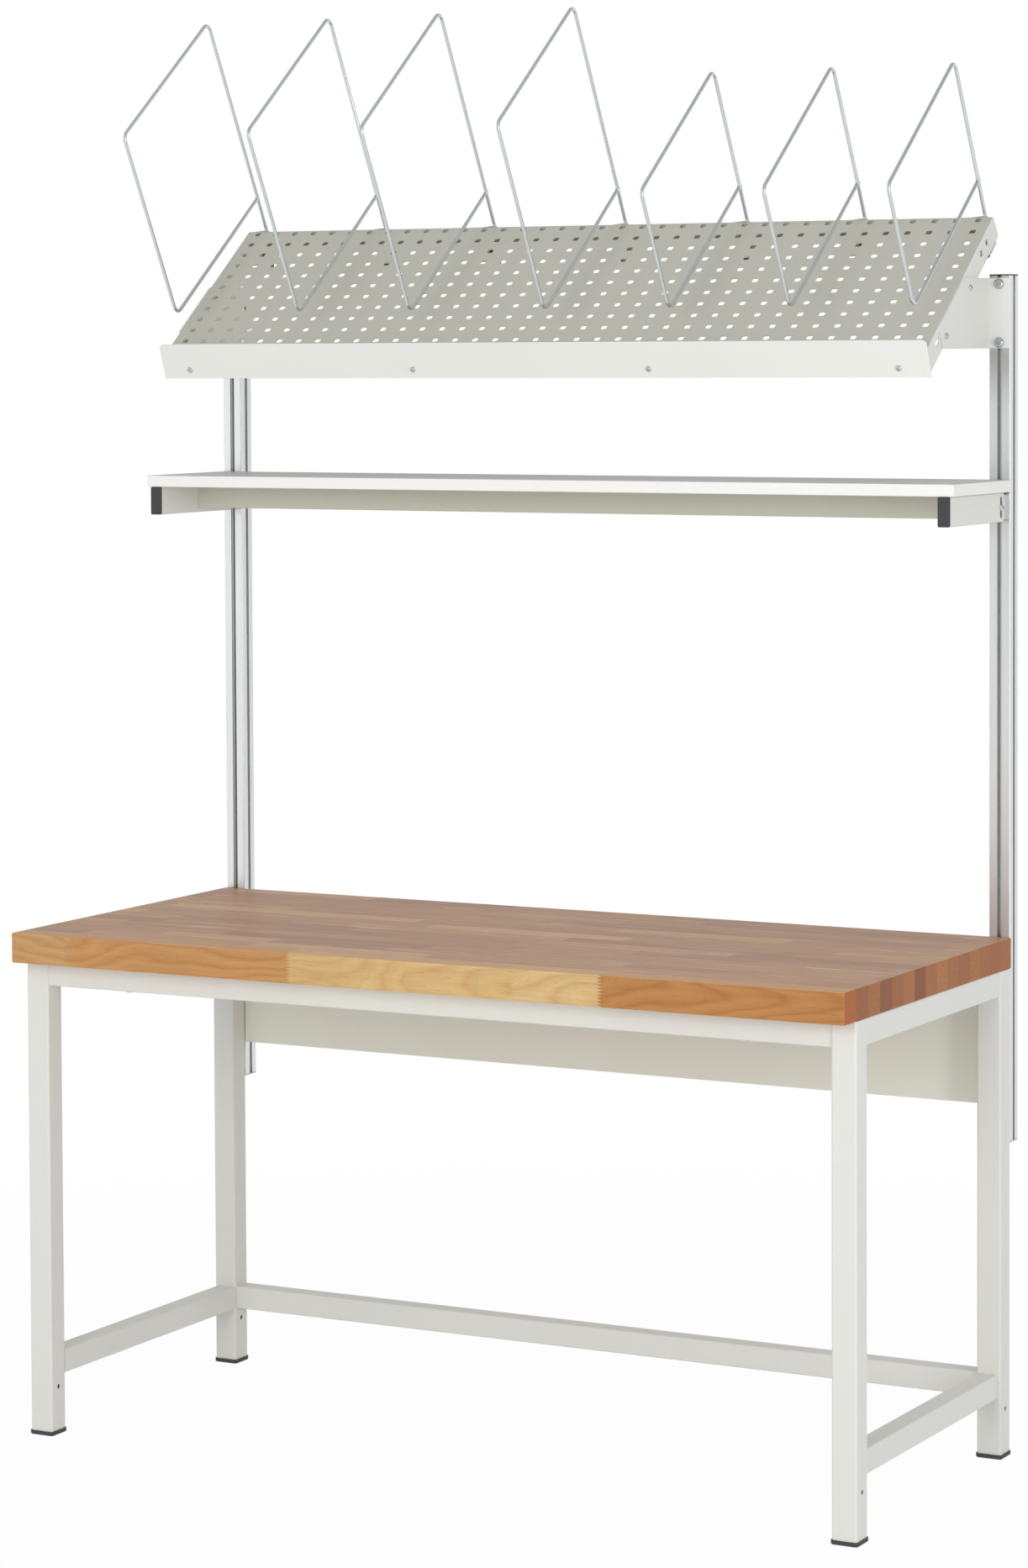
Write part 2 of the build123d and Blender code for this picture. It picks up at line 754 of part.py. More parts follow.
# Front lip, a strip with rounded upper corners
with BuildPart() as front_lip:
    with BuildSketch(lip_plane):
        with Locations((0, (lip_rise - lip_drop) / 2)):
            Rectangle(2 * (tray_half_width + lip_overhang), lip_rise + lip_drop)
        with Locations(*[(x, lip_screw_level) for x in lip_screw_columns]):
            Circle(lip_screw_radius + screw_clearance, mode=Mode.SUBTRACT)
    extrude(amount=lip_sheet)
    across_sheet = Axis(lip_plane.origin, lip_plane.z_dir)
    fillet(front_lip.edges().filter_by(across_sheet).group_by(Axis.Z)[-1], radius=lip_corner)
write(front_lip, "front_lip")

with BuildPart() as lip_screws:
    for x in lip_screw_columns:
        place = lip_plane.from_local_coords((x, lip_screw_level, lip_sheet))
        head = Plane(origin=place, x_dir=lip_plane.x_dir, z_dir=lip_plane.z_dir)
        bolt(head, lip_screw_head_radius, lip_screw_head_height, lip_screw_radius,
             lip_sheet + tray_sheet + lip_screw_tail)
write(lip_screws, "lip_screws")

# Brackets that carry the tray: a plate beside its flange, turned out over the post
nose_y, nose_z = along(bracket_nose_inset)
slope_end_y = tray_y + (bracket_top - tray_z) * tray_cos / tray_sin
bracket_bolt_z = (bracket_top + bracket_bottom) / 2
bracket_bolt_heights = [bracket_bolt_z - bracket_bolt_pitch / 2, bracket_bolt_z + bracket_bolt_pitch / 2]
with BuildPart() as tray_bracket:
    with BuildSketch(facing_right(tray_half_width, 0, 0)):
        with BuildLine():
            Polyline(
                (post_front_y, bracket_bottom),
                (post_front_y, bracket_top),
                (slope_end_y, bracket_top),
                (nose_y, nose_z),
                (nose_y + bracket_nose_rake, bracket_bottom),
                close=True,
            )
        make_face()
        with Locations(*[along(inset, bracket_screw_depth) for inset in bracket_screw_insets]):
            Circle(bracket_screw_radius + screw_clearance, mode=Mode.SUBTRACT)
    extrude(amount=bracket_sheet)
    with BuildSketch(facing_front(0, post_front_y, 0)):
        with Locations(((tray_half_width + leg_x + half_post) / 2, bracket_bolt_z)):
            Rectangle(leg_x + half_post - tray_half_width, bracket_height)
        with Locations(*[(leg_x, height) for height in bracket_bolt_heights]):
            Circle(bolt_radius + bolt_clearance, mode=Mode.SUBTRACT)
    extrude(amount=bracket_sheet)
write_pair(tray_bracket, "tray_bracket")

with BuildPart() as bracket_bolts:
    for height in bracket_bolt_heights:
        bolt(facing_front(leg_x, post_front_y - bracket_sheet, height), bracket_bolt_head_radius,
             bracket_bolt_head_height, bolt_radius, bracket_sheet + nut_back)
        socket_y = post_front_y - bracket_sheet - bracket_bolt_head_height
        with BuildSketch(facing_front(leg_x, socket_y, height)):
            RegularPolygon(bracket_bolt_socket_radius, 6)
        extrude(amount=-bracket_bolt_socket_depth, mode=Mode.SUBTRACT)
    mirror(about=Plane.YZ)
write(bracket_bolts, "bracket_bolts")

with BuildPart() as bracket_nuts:
    for height in bracket_bolt_heights:
        slot_nut(leg_x, [height])
    mirror(about=Plane.YZ)
write(bracket_nuts, "bracket_nuts")

bracket_face_x = tray_half_width + bracket_sheet
screw_reach = bracket_sheet + tray_sheet
with BuildPart() as bracket_screws:
    for inset in bracket_screw_insets:
        y, z = along(inset, bracket_screw_depth)
        bolt(facing_right(bracket_face_x, y, z), bracket_screw_head_radius, bracket_screw_head_height,
             bracket_screw_radius, screw_reach + bracket_nut_height + bracket_screw_tail)
        with BuildSketch(facing_right(tray_half_width - tray_sheet, y, z)):
            RegularPolygon(bracket_nut_radius, 6)
        extrude(amount=-bracket_nut_height)
    mirror(about=Plane.YZ)
write(bracket_screws, "bracket_screws")

# Dividers: a closed loop of wire on a leg, welded to the plate of a clamp that hooks over
# the tray's rear edge, with a knob that screws up against the flange's return
wire_back = clamp_back + wire_radius - leg_weld_bite
base_y, base_z = along(wire_back)
foot_point = along(wire_back, leg_weld_length)
knob_place = tray_length - knob_inset


def up_leg(distance):
    """Return Y and Z of the point that far up the divider's leg from the tray."""
    return base_y - distance * lean_sin, base_z + distance * lean_cos


def down_slope(point, distance):
    """Return Y and Z of the point that far forward of another, parallel to the tray."""
    return point[0] - distance * tray_cos, point[1] - distance * tray_sin


for number, x in enumerate(divider_places, start=1):
    height = tall_height if number <= tall_dividers else short_height
    junction = up_leg(divider_rise)
    apex = up_leg(divider_rise + height)
    front_top = down_slope(apex, divider_length)
    front_low = down_slope(junction, divider_length)
    wire_end = down_slope(junction, wire_radius + weld_gap)
    across = facing_right(x, 0, 0)
    with BuildPart() as divider:
        with BuildLine(across):
            FilletPolyline(
                foot_point, (base_y, base_z), apex, front_top, front_low, wire_end,
                radius=[leg_bend_radius, wire_corner, wire_corner, wire_corner],
            )
        foot_end = (x, foot_point[0], foot_point[1])
        with BuildSketch(Plane(origin=foot_end, x_dir=(1, 0, 0), z_dir=(0, -tray_sin, tray_cos))):
            Circle(wire_radius)
        sweep()
        with Locations((x, junction[0], junction[1])):
            Sphere(weld_bead_radius)
        with BuildSketch(section_at(x - clamp_left)):
            with BuildLine():
                Polyline(
                    (tray_length + clamp_clearance, clamp_hook_sheet),
                    (clamp_back, clamp_hook_sheet),
                    (clamp_back, -clamp_drop),
                    (clamp_back - clamp_sheet - clamp_jaw_reach, -clamp_drop),
                    (clamp_back - clamp_sheet - clamp_jaw_reach, clamp_sheet - clamp_drop),
                    (tray_length + clamp_clearance, clamp_sheet - clamp_drop),
                    close=True,
                )
            make_face()
        extrude(amount=clamp_left + clamp_right)
        with BuildSketch(section_at(x - clamp_hook_width / 2)):
            with Locations(((tray_length + clamp_clearance - clamp_hook_reach / 2), clamp_hook_sheet / 2)):
                Rectangle(clamp_hook_reach, clamp_hook_sheet)
        extrude(amount=clamp_hook_width)
        hole = tray_plane.from_local_coords((x - knob_offset, knob_place, -clamp_drop - overrun))
        rod(Plane(origin=hole, x_dir=(1, 0, 0), z_dir=tray_plane.z_dir), knob_screw_radius + knob_thread_clearance,
            clamp_sheet + 2 * overrun, Mode.SUBTRACT)
    write(divider, f"divider_{number}")

    tip = tray_plane.from_local_coords((x - knob_offset, knob_place, -tray_rear_flange - clamp_clearance))
    down = Plane(origin=tip, x_dir=(1, 0, 0), z_dir=-tray_plane.z_dir)
    knob_top = clamp_drop + knob_gap - tray_rear_flange - clamp_clearance
    with BuildPart() as knob:
        with BuildSketch(down.offset(knob_top)):
            Circle(knob_radius)
        extrude(amount=knob_height)
        chamfer(knob.edges().filter_by(GeomType.CIRCLE), length=knob_chamfer)
        rod(down, knob_screw_radius, knob_top)
        rod(down, knob_pad_radius, knob_pad_thickness)
    write(knob, f"divider_{number}_knob")
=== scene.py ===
"""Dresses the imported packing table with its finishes, hardware, camera and studio.

Metres, +X to the table's right, +Y to its rear and +Z up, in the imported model's own frame.
"""
import json
import logging
import math
from abc import ABC, abstractmethod
from dataclasses import dataclass, field, replace
from enum import Enum
from typing import Callable, Iterable, Sequence, Union

import bmesh
import bpy
from mathutils import Matrix, Vector
from mathutils.kdtree import KDTree

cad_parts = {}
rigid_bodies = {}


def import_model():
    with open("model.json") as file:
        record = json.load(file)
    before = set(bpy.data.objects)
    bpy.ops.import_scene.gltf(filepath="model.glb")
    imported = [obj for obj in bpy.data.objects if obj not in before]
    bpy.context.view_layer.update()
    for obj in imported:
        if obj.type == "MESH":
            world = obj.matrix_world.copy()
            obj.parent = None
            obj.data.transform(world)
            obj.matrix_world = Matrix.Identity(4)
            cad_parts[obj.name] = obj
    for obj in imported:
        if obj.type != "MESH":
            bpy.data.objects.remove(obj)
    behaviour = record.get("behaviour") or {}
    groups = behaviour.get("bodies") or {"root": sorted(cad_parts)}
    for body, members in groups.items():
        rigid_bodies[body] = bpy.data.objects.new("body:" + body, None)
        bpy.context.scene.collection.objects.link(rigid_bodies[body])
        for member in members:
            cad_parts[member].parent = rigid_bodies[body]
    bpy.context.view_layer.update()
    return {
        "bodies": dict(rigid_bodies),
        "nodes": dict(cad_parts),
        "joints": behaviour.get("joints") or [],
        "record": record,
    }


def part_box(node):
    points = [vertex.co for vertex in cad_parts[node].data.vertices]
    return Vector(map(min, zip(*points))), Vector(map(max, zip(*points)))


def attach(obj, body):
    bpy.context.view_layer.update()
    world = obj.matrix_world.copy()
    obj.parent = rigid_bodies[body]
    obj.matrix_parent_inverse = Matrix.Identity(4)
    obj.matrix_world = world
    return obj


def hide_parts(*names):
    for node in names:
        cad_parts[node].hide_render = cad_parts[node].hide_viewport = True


log = logging.getLogger("packing_table")

Colour = tuple[float, float, float, float]
Number = Union[float, "Signal"]
SIDES = (-1.0, 1.0)
SIDE_NAMES = ("left", "right")
WHITE = (1.0, 1.0, 1.0, 1.0)

# Tolerances in metres: points that coincide, points that lie in one plane, and the corners of a
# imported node's loose facets. An edge sharper than SHARP is rounded.
TOUCH = 1e-6
NEAR = 1e-5
MERGE = 2e-5
SHARP = math.radians(35)

AHEAD = Vector((0, -1, 0))
BEHIND = Vector((0, 1, 0))
UP = Vector((0, 0, 1))
DOWN = Vector((0, 0, -1))


def shade(red: int, green: int, blue: int) -> Colour:
    """Turn a display colour into the linear one that shaders take.

    Args:
        red: Red, 0 to 255.
        green: Green, 0 to 255.
        blue: Blue, 0 to 255.

    Returns:
        The linear colour with full alpha.
    """
    channels = [value / 255 for value in (red, green, blue)]
    linear = [c / 12.92 if c <= 0.04045 else ((c + 0.055) / 1.055) ** 2.4 for c in channels]
    return (linear[0], linear[1], linear[2], 1.0)


def _operator(operation: str, swapped: bool = False) -> Callable[["Signal", Number], "Signal"]:
    """Return an operator method of a signal, which adds a Math node.

    Args:
        operation: The node's operation.
        swapped: True for a reflected operator, whose other value comes first.

    Returns:
        The method.
    """

    def apply(signal: "Signal", other: Number) -> "Signal":
        """Return the operation's output."""
        return signal._math(operation, *((other, signal) if swapped else (signal, other)))

    return apply


class Signal:
    """One output of a node, used like a number in expressions."""

    def __init__(self, graph: "Graph", socket: bpy.types.NodeSocket) -> None:
        """Keep the graph and the socket."""
        self.graph = graph
        self.socket = socket

    def _math(self, operation: str, *values: Number) -> "Signal":
        """Return a Math node's output for these values."""
        return self.graph.node("ShaderNodeMath", {"operation": operation}, dict(enumerate(values)))

    __add__ = _operator("ADD")
    __radd__ = _operator("ADD", swapped=True)
    __sub__ = _operator("SUBTRACT")
    __rsub__ = _operator("SUBTRACT", swapped=True)
    __mul__ = _operator("MULTIPLY")
    __rmul__ = _operator("MULTIPLY", swapped=True)
    __truediv__ = _operator("DIVIDE")
    __pow__ = _operator("POWER")

    def __abs__(self) -> "Signal":
        """Return the absolute value."""
        return self._math("ABSOLUTE", self)

    def above(self, edge: Number) -> "Signal":
        """Return 1 where the value is above the edge and 0 elsewhere."""
        return self._math("GREATER_THAN", self, edge)

    def floor(self) -> "Signal":
        """Return the whole part."""
        return self._math("FLOOR", self)

    def fraction(self) -> "Signal":
        """Return the part after the whole part."""
        return self._math("FRACT", self)

    def root(self) -> "Signal":
        """Return the square root."""
        return self._math("SQRT", self)

    def largest(self, other: Number) -> "Signal":
        """Return the larger of two values."""
        return self._math("MAXIMUM", self, other)

    def zigzag(self) -> "Signal":
        """Return a triangle wave from 0 to 1, one period per unit."""
        return self._math("PINGPONG", self, 0.5) * 2.0

    def ease(self, low: float, high: float) -> "Signal":
        """Return a smooth rise from 0 at low to 1 at high."""
        return self.graph.node(
            "ShaderNodeMapRange",
            {"interpolation_type": "SMOOTHSTEP"},
            {"Value": self, "From Min": low, "From Max": high},
        )


class Graph:
    """A node tree that is written through signals."""

    def __init__(self, tree: bpy.types.NodeTree) -> None:
        """Keep the tree and empty it."""
        self.tree = tree
        tree.nodes.clear()

    def node(
        self,
        kind: str,
        settings: dict | None = None,
        sockets: dict | None = None,
        output: int | str = 0,
    ) -> Signal:
        """Add a node.

        Args:
            kind: The node's type.
            settings: Its properties, which are set first; stops are a ramp's places and colours.
            sockets: Values or signals by socket name or number.
            output: Name or number of the output to return.

        Returns:
            That output as a signal.
        """
        made = self.tree.nodes.new(kind)
        for key, value in (settings or {}).items():
            if key == "stops":
                while len(made.color_ramp.elements) < len(value):
                    made.color_ramp.elements.new(1.0)
                for element, (place, colour) in zip(made.color_ramp.elements, value):
                    element.position = place
                    element.color = colour
            elif key == "ramp":
                made.color_ramp.interpolation = value
            else:
                setattr(made, key, value)
        for key, value in (sockets or {}).items():
            if isinstance(value, Signal):
                self.tree.links.new(value.socket, made.inputs[key])
            else:
                made.inputs[key].default_value = value
        return Signal(self, made.outputs[output] if len(made.outputs) else None)

    def place(self) -> Signal:
        """Return the point's own coordinates on the piece, in metres."""
        return self.node("ShaderNodeTexCoord", output="Object")

    def facing(self) -> Signal:
        """Return the direction that the surface faces."""
        return self.node("ShaderNodeTexCoord", output="Normal")

    def parts(self, vector: Signal) -> tuple[Signal, Signal, Signal]:
        """Return a vector's three numbers.

        Args:
            vector: The vector.

        Returns:
            Its x, y and z.
        """
        first = self.node("ShaderNodeSeparateXYZ", sockets={0: vector})
        outputs = first.socket.node.outputs
        return first, Signal(self, outputs[1]), Signal(self, outputs[2])

    def vector(self, x: Number, y: Number, z: Number) -> Signal:
        """Return a vector of three numbers."""
        return self.node("ShaderNodeCombineXYZ", sockets={0: x, 1: y, 2: z})

    def stretched(
        self, vector: Signal, scale: Sequence[float], shift: Signal | None = None
    ) -> Signal:
        """Return a vector scaled along its axes and shifted.

        Args:
            vector: The vector.
            scale: The factor along each axis.
            shift: What is added after scaling.

        Returns:
            The new vector.
        """
        scaled = self.node("ShaderNodeVectorMath", {"operation": "MULTIPLY"}, {0: vector, 1: scale})
        if shift is None:
            return scaled
        return self.node("ShaderNodeVectorMath", {"operation": "ADD"}, {0: scaled, 1: shift})

    def noise(self, vector: Signal, scale: float = 1.0, detail: float = 2.0, warp: float = 0.0) -> Signal:
        """Return smooth noise from 0 to 1.

        Args:
            vector: Where it is read.
            scale: Its cells per metre.
            detail: Its octaves.
            warp: How far it distorts itself.

        Returns:
            The noise.
        """
        sockets = {"Vector": vector, "Scale": scale, "Detail": detail, "Distortion": warp}
        return self.node("ShaderNodeTexNoise", sockets=sockets)

    def chance(self, vector: Signal, output: str = "Value") -> Signal:
        """Return a random value, or colour, that is fixed for each vector."""
        return self.node("ShaderNodeTexWhiteNoise", {"noise_dimensions": "3D"}, {"Vector": vector}, output)

    def ramp(self, value: Signal, stops: Sequence[tuple[float, Colour]], kind: str = "LINEAR") -> Signal:
        """Return the ramp's colour at a value.

        Args:
            value: Where the ramp is read, 0 to 1.
            stops: Its places and colours.
            kind: How it runs between stops.

        Returns:
            The colour.
        """
        return self.node("ShaderNodeValToRGB", {"stops": stops, "ramp": kind}, {0: value})

    def mix(
        self, amount: Number, first: Signal | Colour, second: Signal | Colour, blend: str = "MIX"
    ) -> Signal:
        """Return two colours mixed.

        Args:
            amount: The share of the second.
            first: The first colour.
            second: The second colour.
            blend: How they mix.

        Returns:
            The colour.
        """
        return self.node(
            "ShaderNodeMix", {"data_type": "RGBA", "blend_type": blend}, {0: amount, 6: first, 7: second}, 2
        )

    def toned(self, colour: Signal | Colour, tone: Signal | Colour) -> Signal:
        """Return a colour multiplied by a number or by another colour."""
        return self.mix(1.0, colour, tone, "MULTIPLY")

    def bump(self, height: Signal, depth: float, strength: float = 1.0) -> Signal:
        """Return a normal from a height.

        Args:
            height: The height, 0 to 1.
            depth: What a height of 1 means, in metres.
            strength: How strongly it shows.

        Returns:
            The normal.
        """
        sockets = {"Height": height, "Distance": depth, "Strength": strength}
        return self.node("ShaderNodeBump", sockets=sockets)

    def rays(self) -> tuple[Signal, Signal]:
        """Return 1 on a ray from the camera, and 1 on a mirrored ray."""
        camera_ray = self.node("ShaderNodeLightPath", output="Is Camera Ray")
        return camera_ray, Signal(self, camera_ray.socket.node.outputs["Is Glossy Ray"])

    def surface(self, **sockets: object) -> None:
        """End a material in a Principled shader.

        Args:
            sockets: Values or signals by socket name, with _ in place of each space.
        """
        named = {key.replace("_", " "): value for key, value in sockets.items()}
        shader = self.node("ShaderNodeBsdfPrincipled", sockets=named)
        self.node("ShaderNodeOutputMaterial", sockets={"Surface": shader})


class Finish(ABC):
    """A finish that is made into a material once and laid on any piece."""

    name: str

    @abstractmethod
    def write(self, graph: Graph) -> None:
        """Write the finish's nodes."""

    def material(self) -> bpy.types.Material:
        """Make the finish's material at the first call.

        Returns:
            The material.
        """
        found = bpy.data.materials.get(self.name)
        if found is None:
            found = bpy.data.materials.new(self.name)
            found.use_nodes = True
            self.write(Graph(found.node_tree))
        return found

    def lay(self, piece: bpy.types.Object) -> None:
        """Lay the finish on a piece in place of what it had."""
        piece.data.materials.clear()
        piece.data.materials.append(self.material())


@dataclass(frozen=True)
class PowderCoat(Finish):
    """Baked powder paint with a fine orange peel."""

    name: str
    colour: Colour
    roughness: float = 0.4
    peel_cells: float = 620.0
    peel_depth: float = 0.00006
    cloud_cells: float = 5.0
    cloud: float = 0.035

    def write(self, graph: Graph) -> None:
        """Write cloudy paint with peel.

        Args:
            graph: The material's nodes.
        """
        place = graph.place()
        cloud = graph.noise(place, self.cloud_cells, 4.0)
        peel = graph.noise(place, self.peel_cells, 2.0)
        grain = graph.noise(place, self.peel_cells * 2.3, 1.0)
        tone = (1.0 - self.cloud * 0.5) + self.cloud * cloud + 0.012 * grain
        graph.surface(
            Base_Color=graph.toned(self.colour, tone),
            Roughness=self.roughness + 0.08 * cloud - 0.04 * peel,
            Normal=graph.bump(peel, self.peel_depth, 0.6),
        )


@dataclass(frozen=True)
class BlockWood(Finish):
    """Block-glued hardwood with finger joints, oiled to a satin sheen."""

    name: str
    front: float
    length: float = 1.5
    stave: float = 0.0453
    shortest: float = 0.2
    spread: float = 0.3
    tooth: float = 0.0052
    tooth_reach: float = 0.0085
    front_joints: tuple[float, ...] = (-0.643, -0.2225, 0.187, 0.339)
    front_tints: tuple[Colour, ...] = (
        shade(217, 169, 109),
        shade(218, 161, 97),
        shade(233, 195, 132),
        shade(236, 200, 139),
        shade(203, 142, 78),
    )
    tints: tuple[Colour, ...] = (
        shade(158, 106, 72),
        shade(184, 133, 95),
        shade(192, 144, 104),
        shade(203, 156, 114),
        shade(232, 194, 150),
    )
    ring_tint: Colour = shade(229, 196, 166)
    # Painted sheen: the tint of the whitish streaks on the top faces.
    sheen_streak_tint: Colour = shade(244, 226, 204)
    # Painted sheen: the flat tone that the top faces are mixed towards.
    top_painted_sheen_tint: Colour = shade(190, 148, 116)
    end_tint: Colour = shade(218, 184, 146)
    ring_pitch: float = 0.009

    def write(self, graph: Graph) -> None:
        """Write staves, growth rings, fibres, flecks and glue lines, and painted sheen on the top faces.

        Args:
            graph: The material's nodes.
        """
        place = graph.place()
        x, y, z = graph.parts(place)
        teeth = (z / self.tooth).zigzag()
        along = x + (teeth - 0.5) * self.tooth_reach
        across = (y - self.front) / self.stave
        row = across.floor()
        lot = graph.chance(graph.vector(row, 3.7, 1.9))
        stretch = self.shortest + self.spread * lot
        run = along / stretch + lot * 9.7
        beyond = [along.above(joint) for joint in self.front_joints]
        passed = sum(beyond[1:], beyond[0])
        first = 1.0 - row.above(0.5)
        number = run.floor() * (1.0 - first) + (passed + 40.0) * first
        stave = graph.vector(row, number, 0.5)
        luck = (graph.chance(stave) * 0.4 + row * 0.618 + number * 0.382).fraction()
        drift = graph.chance(stave, "Color")

        last = len(self.tints) - 1
        tint = graph.ramp(luck, [(i / last, colour) for i, colour in enumerate(self.tints)])
        faces = graph.parts(graph.facing())
        end = abs(faces[0]).ease(0.5, 0.8)
        up = faces[2].ease(0.5, 0.8)
        # Painted sheen: the top faces are mixed towards one flat pinkish tone, standing in for the sheen
        # that evens out the staves on the top.
        tint = graph.mix(up * 0.4, tint, self.top_painted_sheen_tint)
        starts = (-self.length / 2,) + self.front_joints
        stops = [(start / self.length + 0.5, colour) for start, colour in zip(starts, self.front_tints)]
        edge_tint = graph.ramp(along / self.length + 0.5, stops, "CONSTANT")
        # On the top face the front blocks' tints fade the same way, as painted sheen.
        tint = graph.mix(first * (1.0 - 0.6 * up), tint, edge_tint)

        shift = graph.stretched(drift, (9.0, 9.0, 9.0))
        streak = graph.noise(graph.stretched(place, (3.2, 120.0, 120.0), shift), 1.0, 4.0)
        fibre = graph.noise(graph.stretched(place, (14.0, 800.0, 800.0), shift), 1.0, 2.0)
        flecks = graph.noise(graph.stretched(place, (60.0, 460.0, 460.0), shift), 1.0, 1.0).ease(0.61, 0.7)
        # Mask of the whitish streaks, laid on the top faces only as painted sheen.
        sheen_streaks = graph.noise(graph.stretched(place, (5.0, 150.0, 150.0), shift), 1.0, 2.0).ease(0.58, 0.72)
        red, green, blue = graph.parts(drift)
        pith_y = self.stave * (across - row - 0.5) + (red - 0.5) * 0.14
        pith_z = z - 0.825 + (green - 0.5) * 0.12
        wander = graph.noise(graph.stretched(place, (4.5, 11.0, 11.0), shift), 1.0, 1.0)
        fray = graph.noise(graph.stretched(place, (14.0, 90.0, 90.0), shift), 1.0, 2.0)
        reach = (pith_y * pith_y + pith_z * pith_z).root() + (blue - 0.5) * 0.3 * x
        reach = reach + wander * 0.05 + fray * 0.006
        ring = (reach / self.ring_pitch).zigzag() ** 2.6
        growth = 1.0 - (reach / self.ring_pitch).fraction()

        across_gap = abs(across - row - 0.5).ease(0.487, 0.497)
        along_gap = abs(run.fraction() - 0.5).ease(0.4975, 0.4995) * (1.0 - first)
        gap = across_gap.largest(along_gap)
        tone = 1.0 + 0.36 * (streak - 0.5) - 0.07 * growth + 0.14 * (fibre - 0.5) - 0.12 * flecks
        colour = graph.toned(tint, tone * (1.0 - 0.2 * gap))
        # The rings are weaker on the top faces as painted sheen, and weaker on the end grain.
        share = ring * (0.35 + 0.3 * luck) * (1.0 - 0.5 * up - 0.6 * end)
        colour = graph.mix(share, colour, graph.toned(colour, self.ring_tint))
        # Painted sheen: whitish streaks on the top faces only.
        colour = graph.mix(sheen_streaks * up * 0.42, colour, self.sheen_streak_tint)
        colour = graph.mix(end, colour, graph.toned(colour, self.end_tint))
        graph.surface(
            Base_Color=colour,
            Roughness=0.36 + 0.14 * streak + 0.06 * luck + 0.12 * end,
            Normal=graph.bump(fibre * 0.4 - gap - 0.3 * ring, 0.00011, 0.7),
        )


@dataclass(frozen=True)
class Laminate(Finish):
    """Light laminate over chipboard, with an edge band."""

    name: str
    face: Colour
    band: Colour

    def write(self, graph: Graph) -> None:
        """Write a stippled face and a smoother band on the upright edges, the face's tone darkened as
        painted shade.

        Args:
            graph: The material's nodes.
        """
        place = graph.place()
        stipple = graph.noise(place, 1500.0, 2.0)
        cloud = graph.noise(place, 4.0, 3.0)
        up = abs(graph.parts(graph.facing())[2])
        # Painted light and shade: the flat faces take the darker face tone, painted shade against the sheen
        # they catch, and the upright edge band the lighter band tone, partly painted light.
        colour = graph.mix(up.ease(0.3, 0.7), self.band, self.face)
        graph.surface(
            Base_Color=graph.toned(colour, 0.975 + 0.025 * cloud + 0.02 * stipple),
            Roughness=0.42 + 0.1 * stipple,
            Normal=graph.bump(stipple, 0.00003, 0.5),
        )


@dataclass(frozen=True)
class DrawnAluminium(Finish):
    """Anodised extrusion with fine die lines along its length."""

    name: str
    colour: Colour
    roughness: float = 0.3

    def write(self, graph: Graph) -> None:
        """Write die lines and a faint cloud.

        Args:
            graph: The material's nodes.
        """
        place = graph.place()
        lines = graph.noise(graph.stretched(place, (1700.0, 1700.0, 1.5)), 1.0, 2.0)
        cloud = graph.noise(graph.stretched(place, (30.0, 30.0, 5.0)), 1.0, 3.0)
        graph.surface(
            Base_Color=graph.toned(self.colour, 0.86 + 0.12 * lines + 0.12 * cloud),
            Metallic=1.0,
            Roughness=self.roughness + 0.14 * lines,
            Normal=graph.bump(lines, 0.00002, 0.5),
        )


@dataclass(frozen=True)
class ZincPlate(Finish):
    """Zinc plating, brighter on drawn wire and cloudier on pressed sheet."""

    name: str
    colour: Colour
    roughness: float = 0.26
    cloud: float = 0.12
    grain_depth: float = 0.00002
    painted_shade_tone: float = 1.0
    painted_shade_end: float = 0.0

    def write(self, graph: Graph) -> None:
        """Write cloudy plating with a faint blue and yellow cast, and painted shade on the side faces.

        Args:
            graph: The material's nodes.
        """
        place = graph.place()
        cloud = graph.noise(place, 55.0, 4.0, 0.6)
        grain = graph.noise(place, 1400.0, 2.0)
        cast = graph.noise(place, 21.0, 1.0)
        warm = graph.mix(cast.ease(0.35, 0.7), self.colour, (0.74, 0.72, 0.62, 1.0))
        colour = graph.mix(0.35, self.colour, warm)
        # Painted shade: faces that look sideways, in front of the painted_shade_end plane, are darkened to
        # painted_shade_tone, standing in for the shade inside the shelf arm's slot.
        side = abs(graph.parts(graph.facing())[0]).ease(0.5, 0.8)
        side = side * (1.0 - graph.parts(place)[1].above(self.painted_shade_end))
        tone = 1.0 - self.cloud + 2.0 * self.cloud * cloud
        graph.surface(
            Base_Color=graph.toned(colour, tone * (1.0 - (1.0 - self.painted_shade_tone) * side)),
            Metallic=1.0,
            Roughness=self.roughness + 0.14 * cloud + 0.05 * grain,
            Normal=graph.bump(grain, self.grain_depth, 0.5),
        )


@dataclass(frozen=True)
class ClampedWire(Finish):
    """Bright zinc wire welded to a clamp plate, which is painted like the tray."""

    name: str
    wire: ZincPlate
    paint: Colour
    tilt: float
    edge: tuple[float, float]
    plate_back: float = 0.3656
    plate_front: float = 0.33
    plate_top: float = 0.0026

    def write(self, graph: Graph) -> None:
        """Write plating, and paint inside the plate's own space on the tray's slope.

        Args:
            graph: The material's nodes.
        """
        place = graph.place()
        y, z = (part - level for part, level in zip(graph.parts(place)[1:], self.edge))
        reach = y * math.cos(self.tilt) + z * math.sin(self.tilt)
        rise = z * math.cos(self.tilt) - y * math.sin(self.tilt)
        plate = reach.above(self.plate_front) * (1.0 - reach.above(self.plate_back))
        plate = plate * (1.0 - rise.above(self.plate_top))
        cloud = graph.noise(place, 55.0, 4.0, 0.6)
        zinc = graph.toned(self.wire.colour, 0.96 + 0.08 * cloud)
        graph.surface(
            Base_Color=graph.mix(plate, zinc, graph.toned(self.paint, 0.97 + 0.04 * cloud)),
            Metallic=1.0 - plate,
            Roughness=self.wire.roughness + (0.36 - self.wire.roughness) * plate,
        )


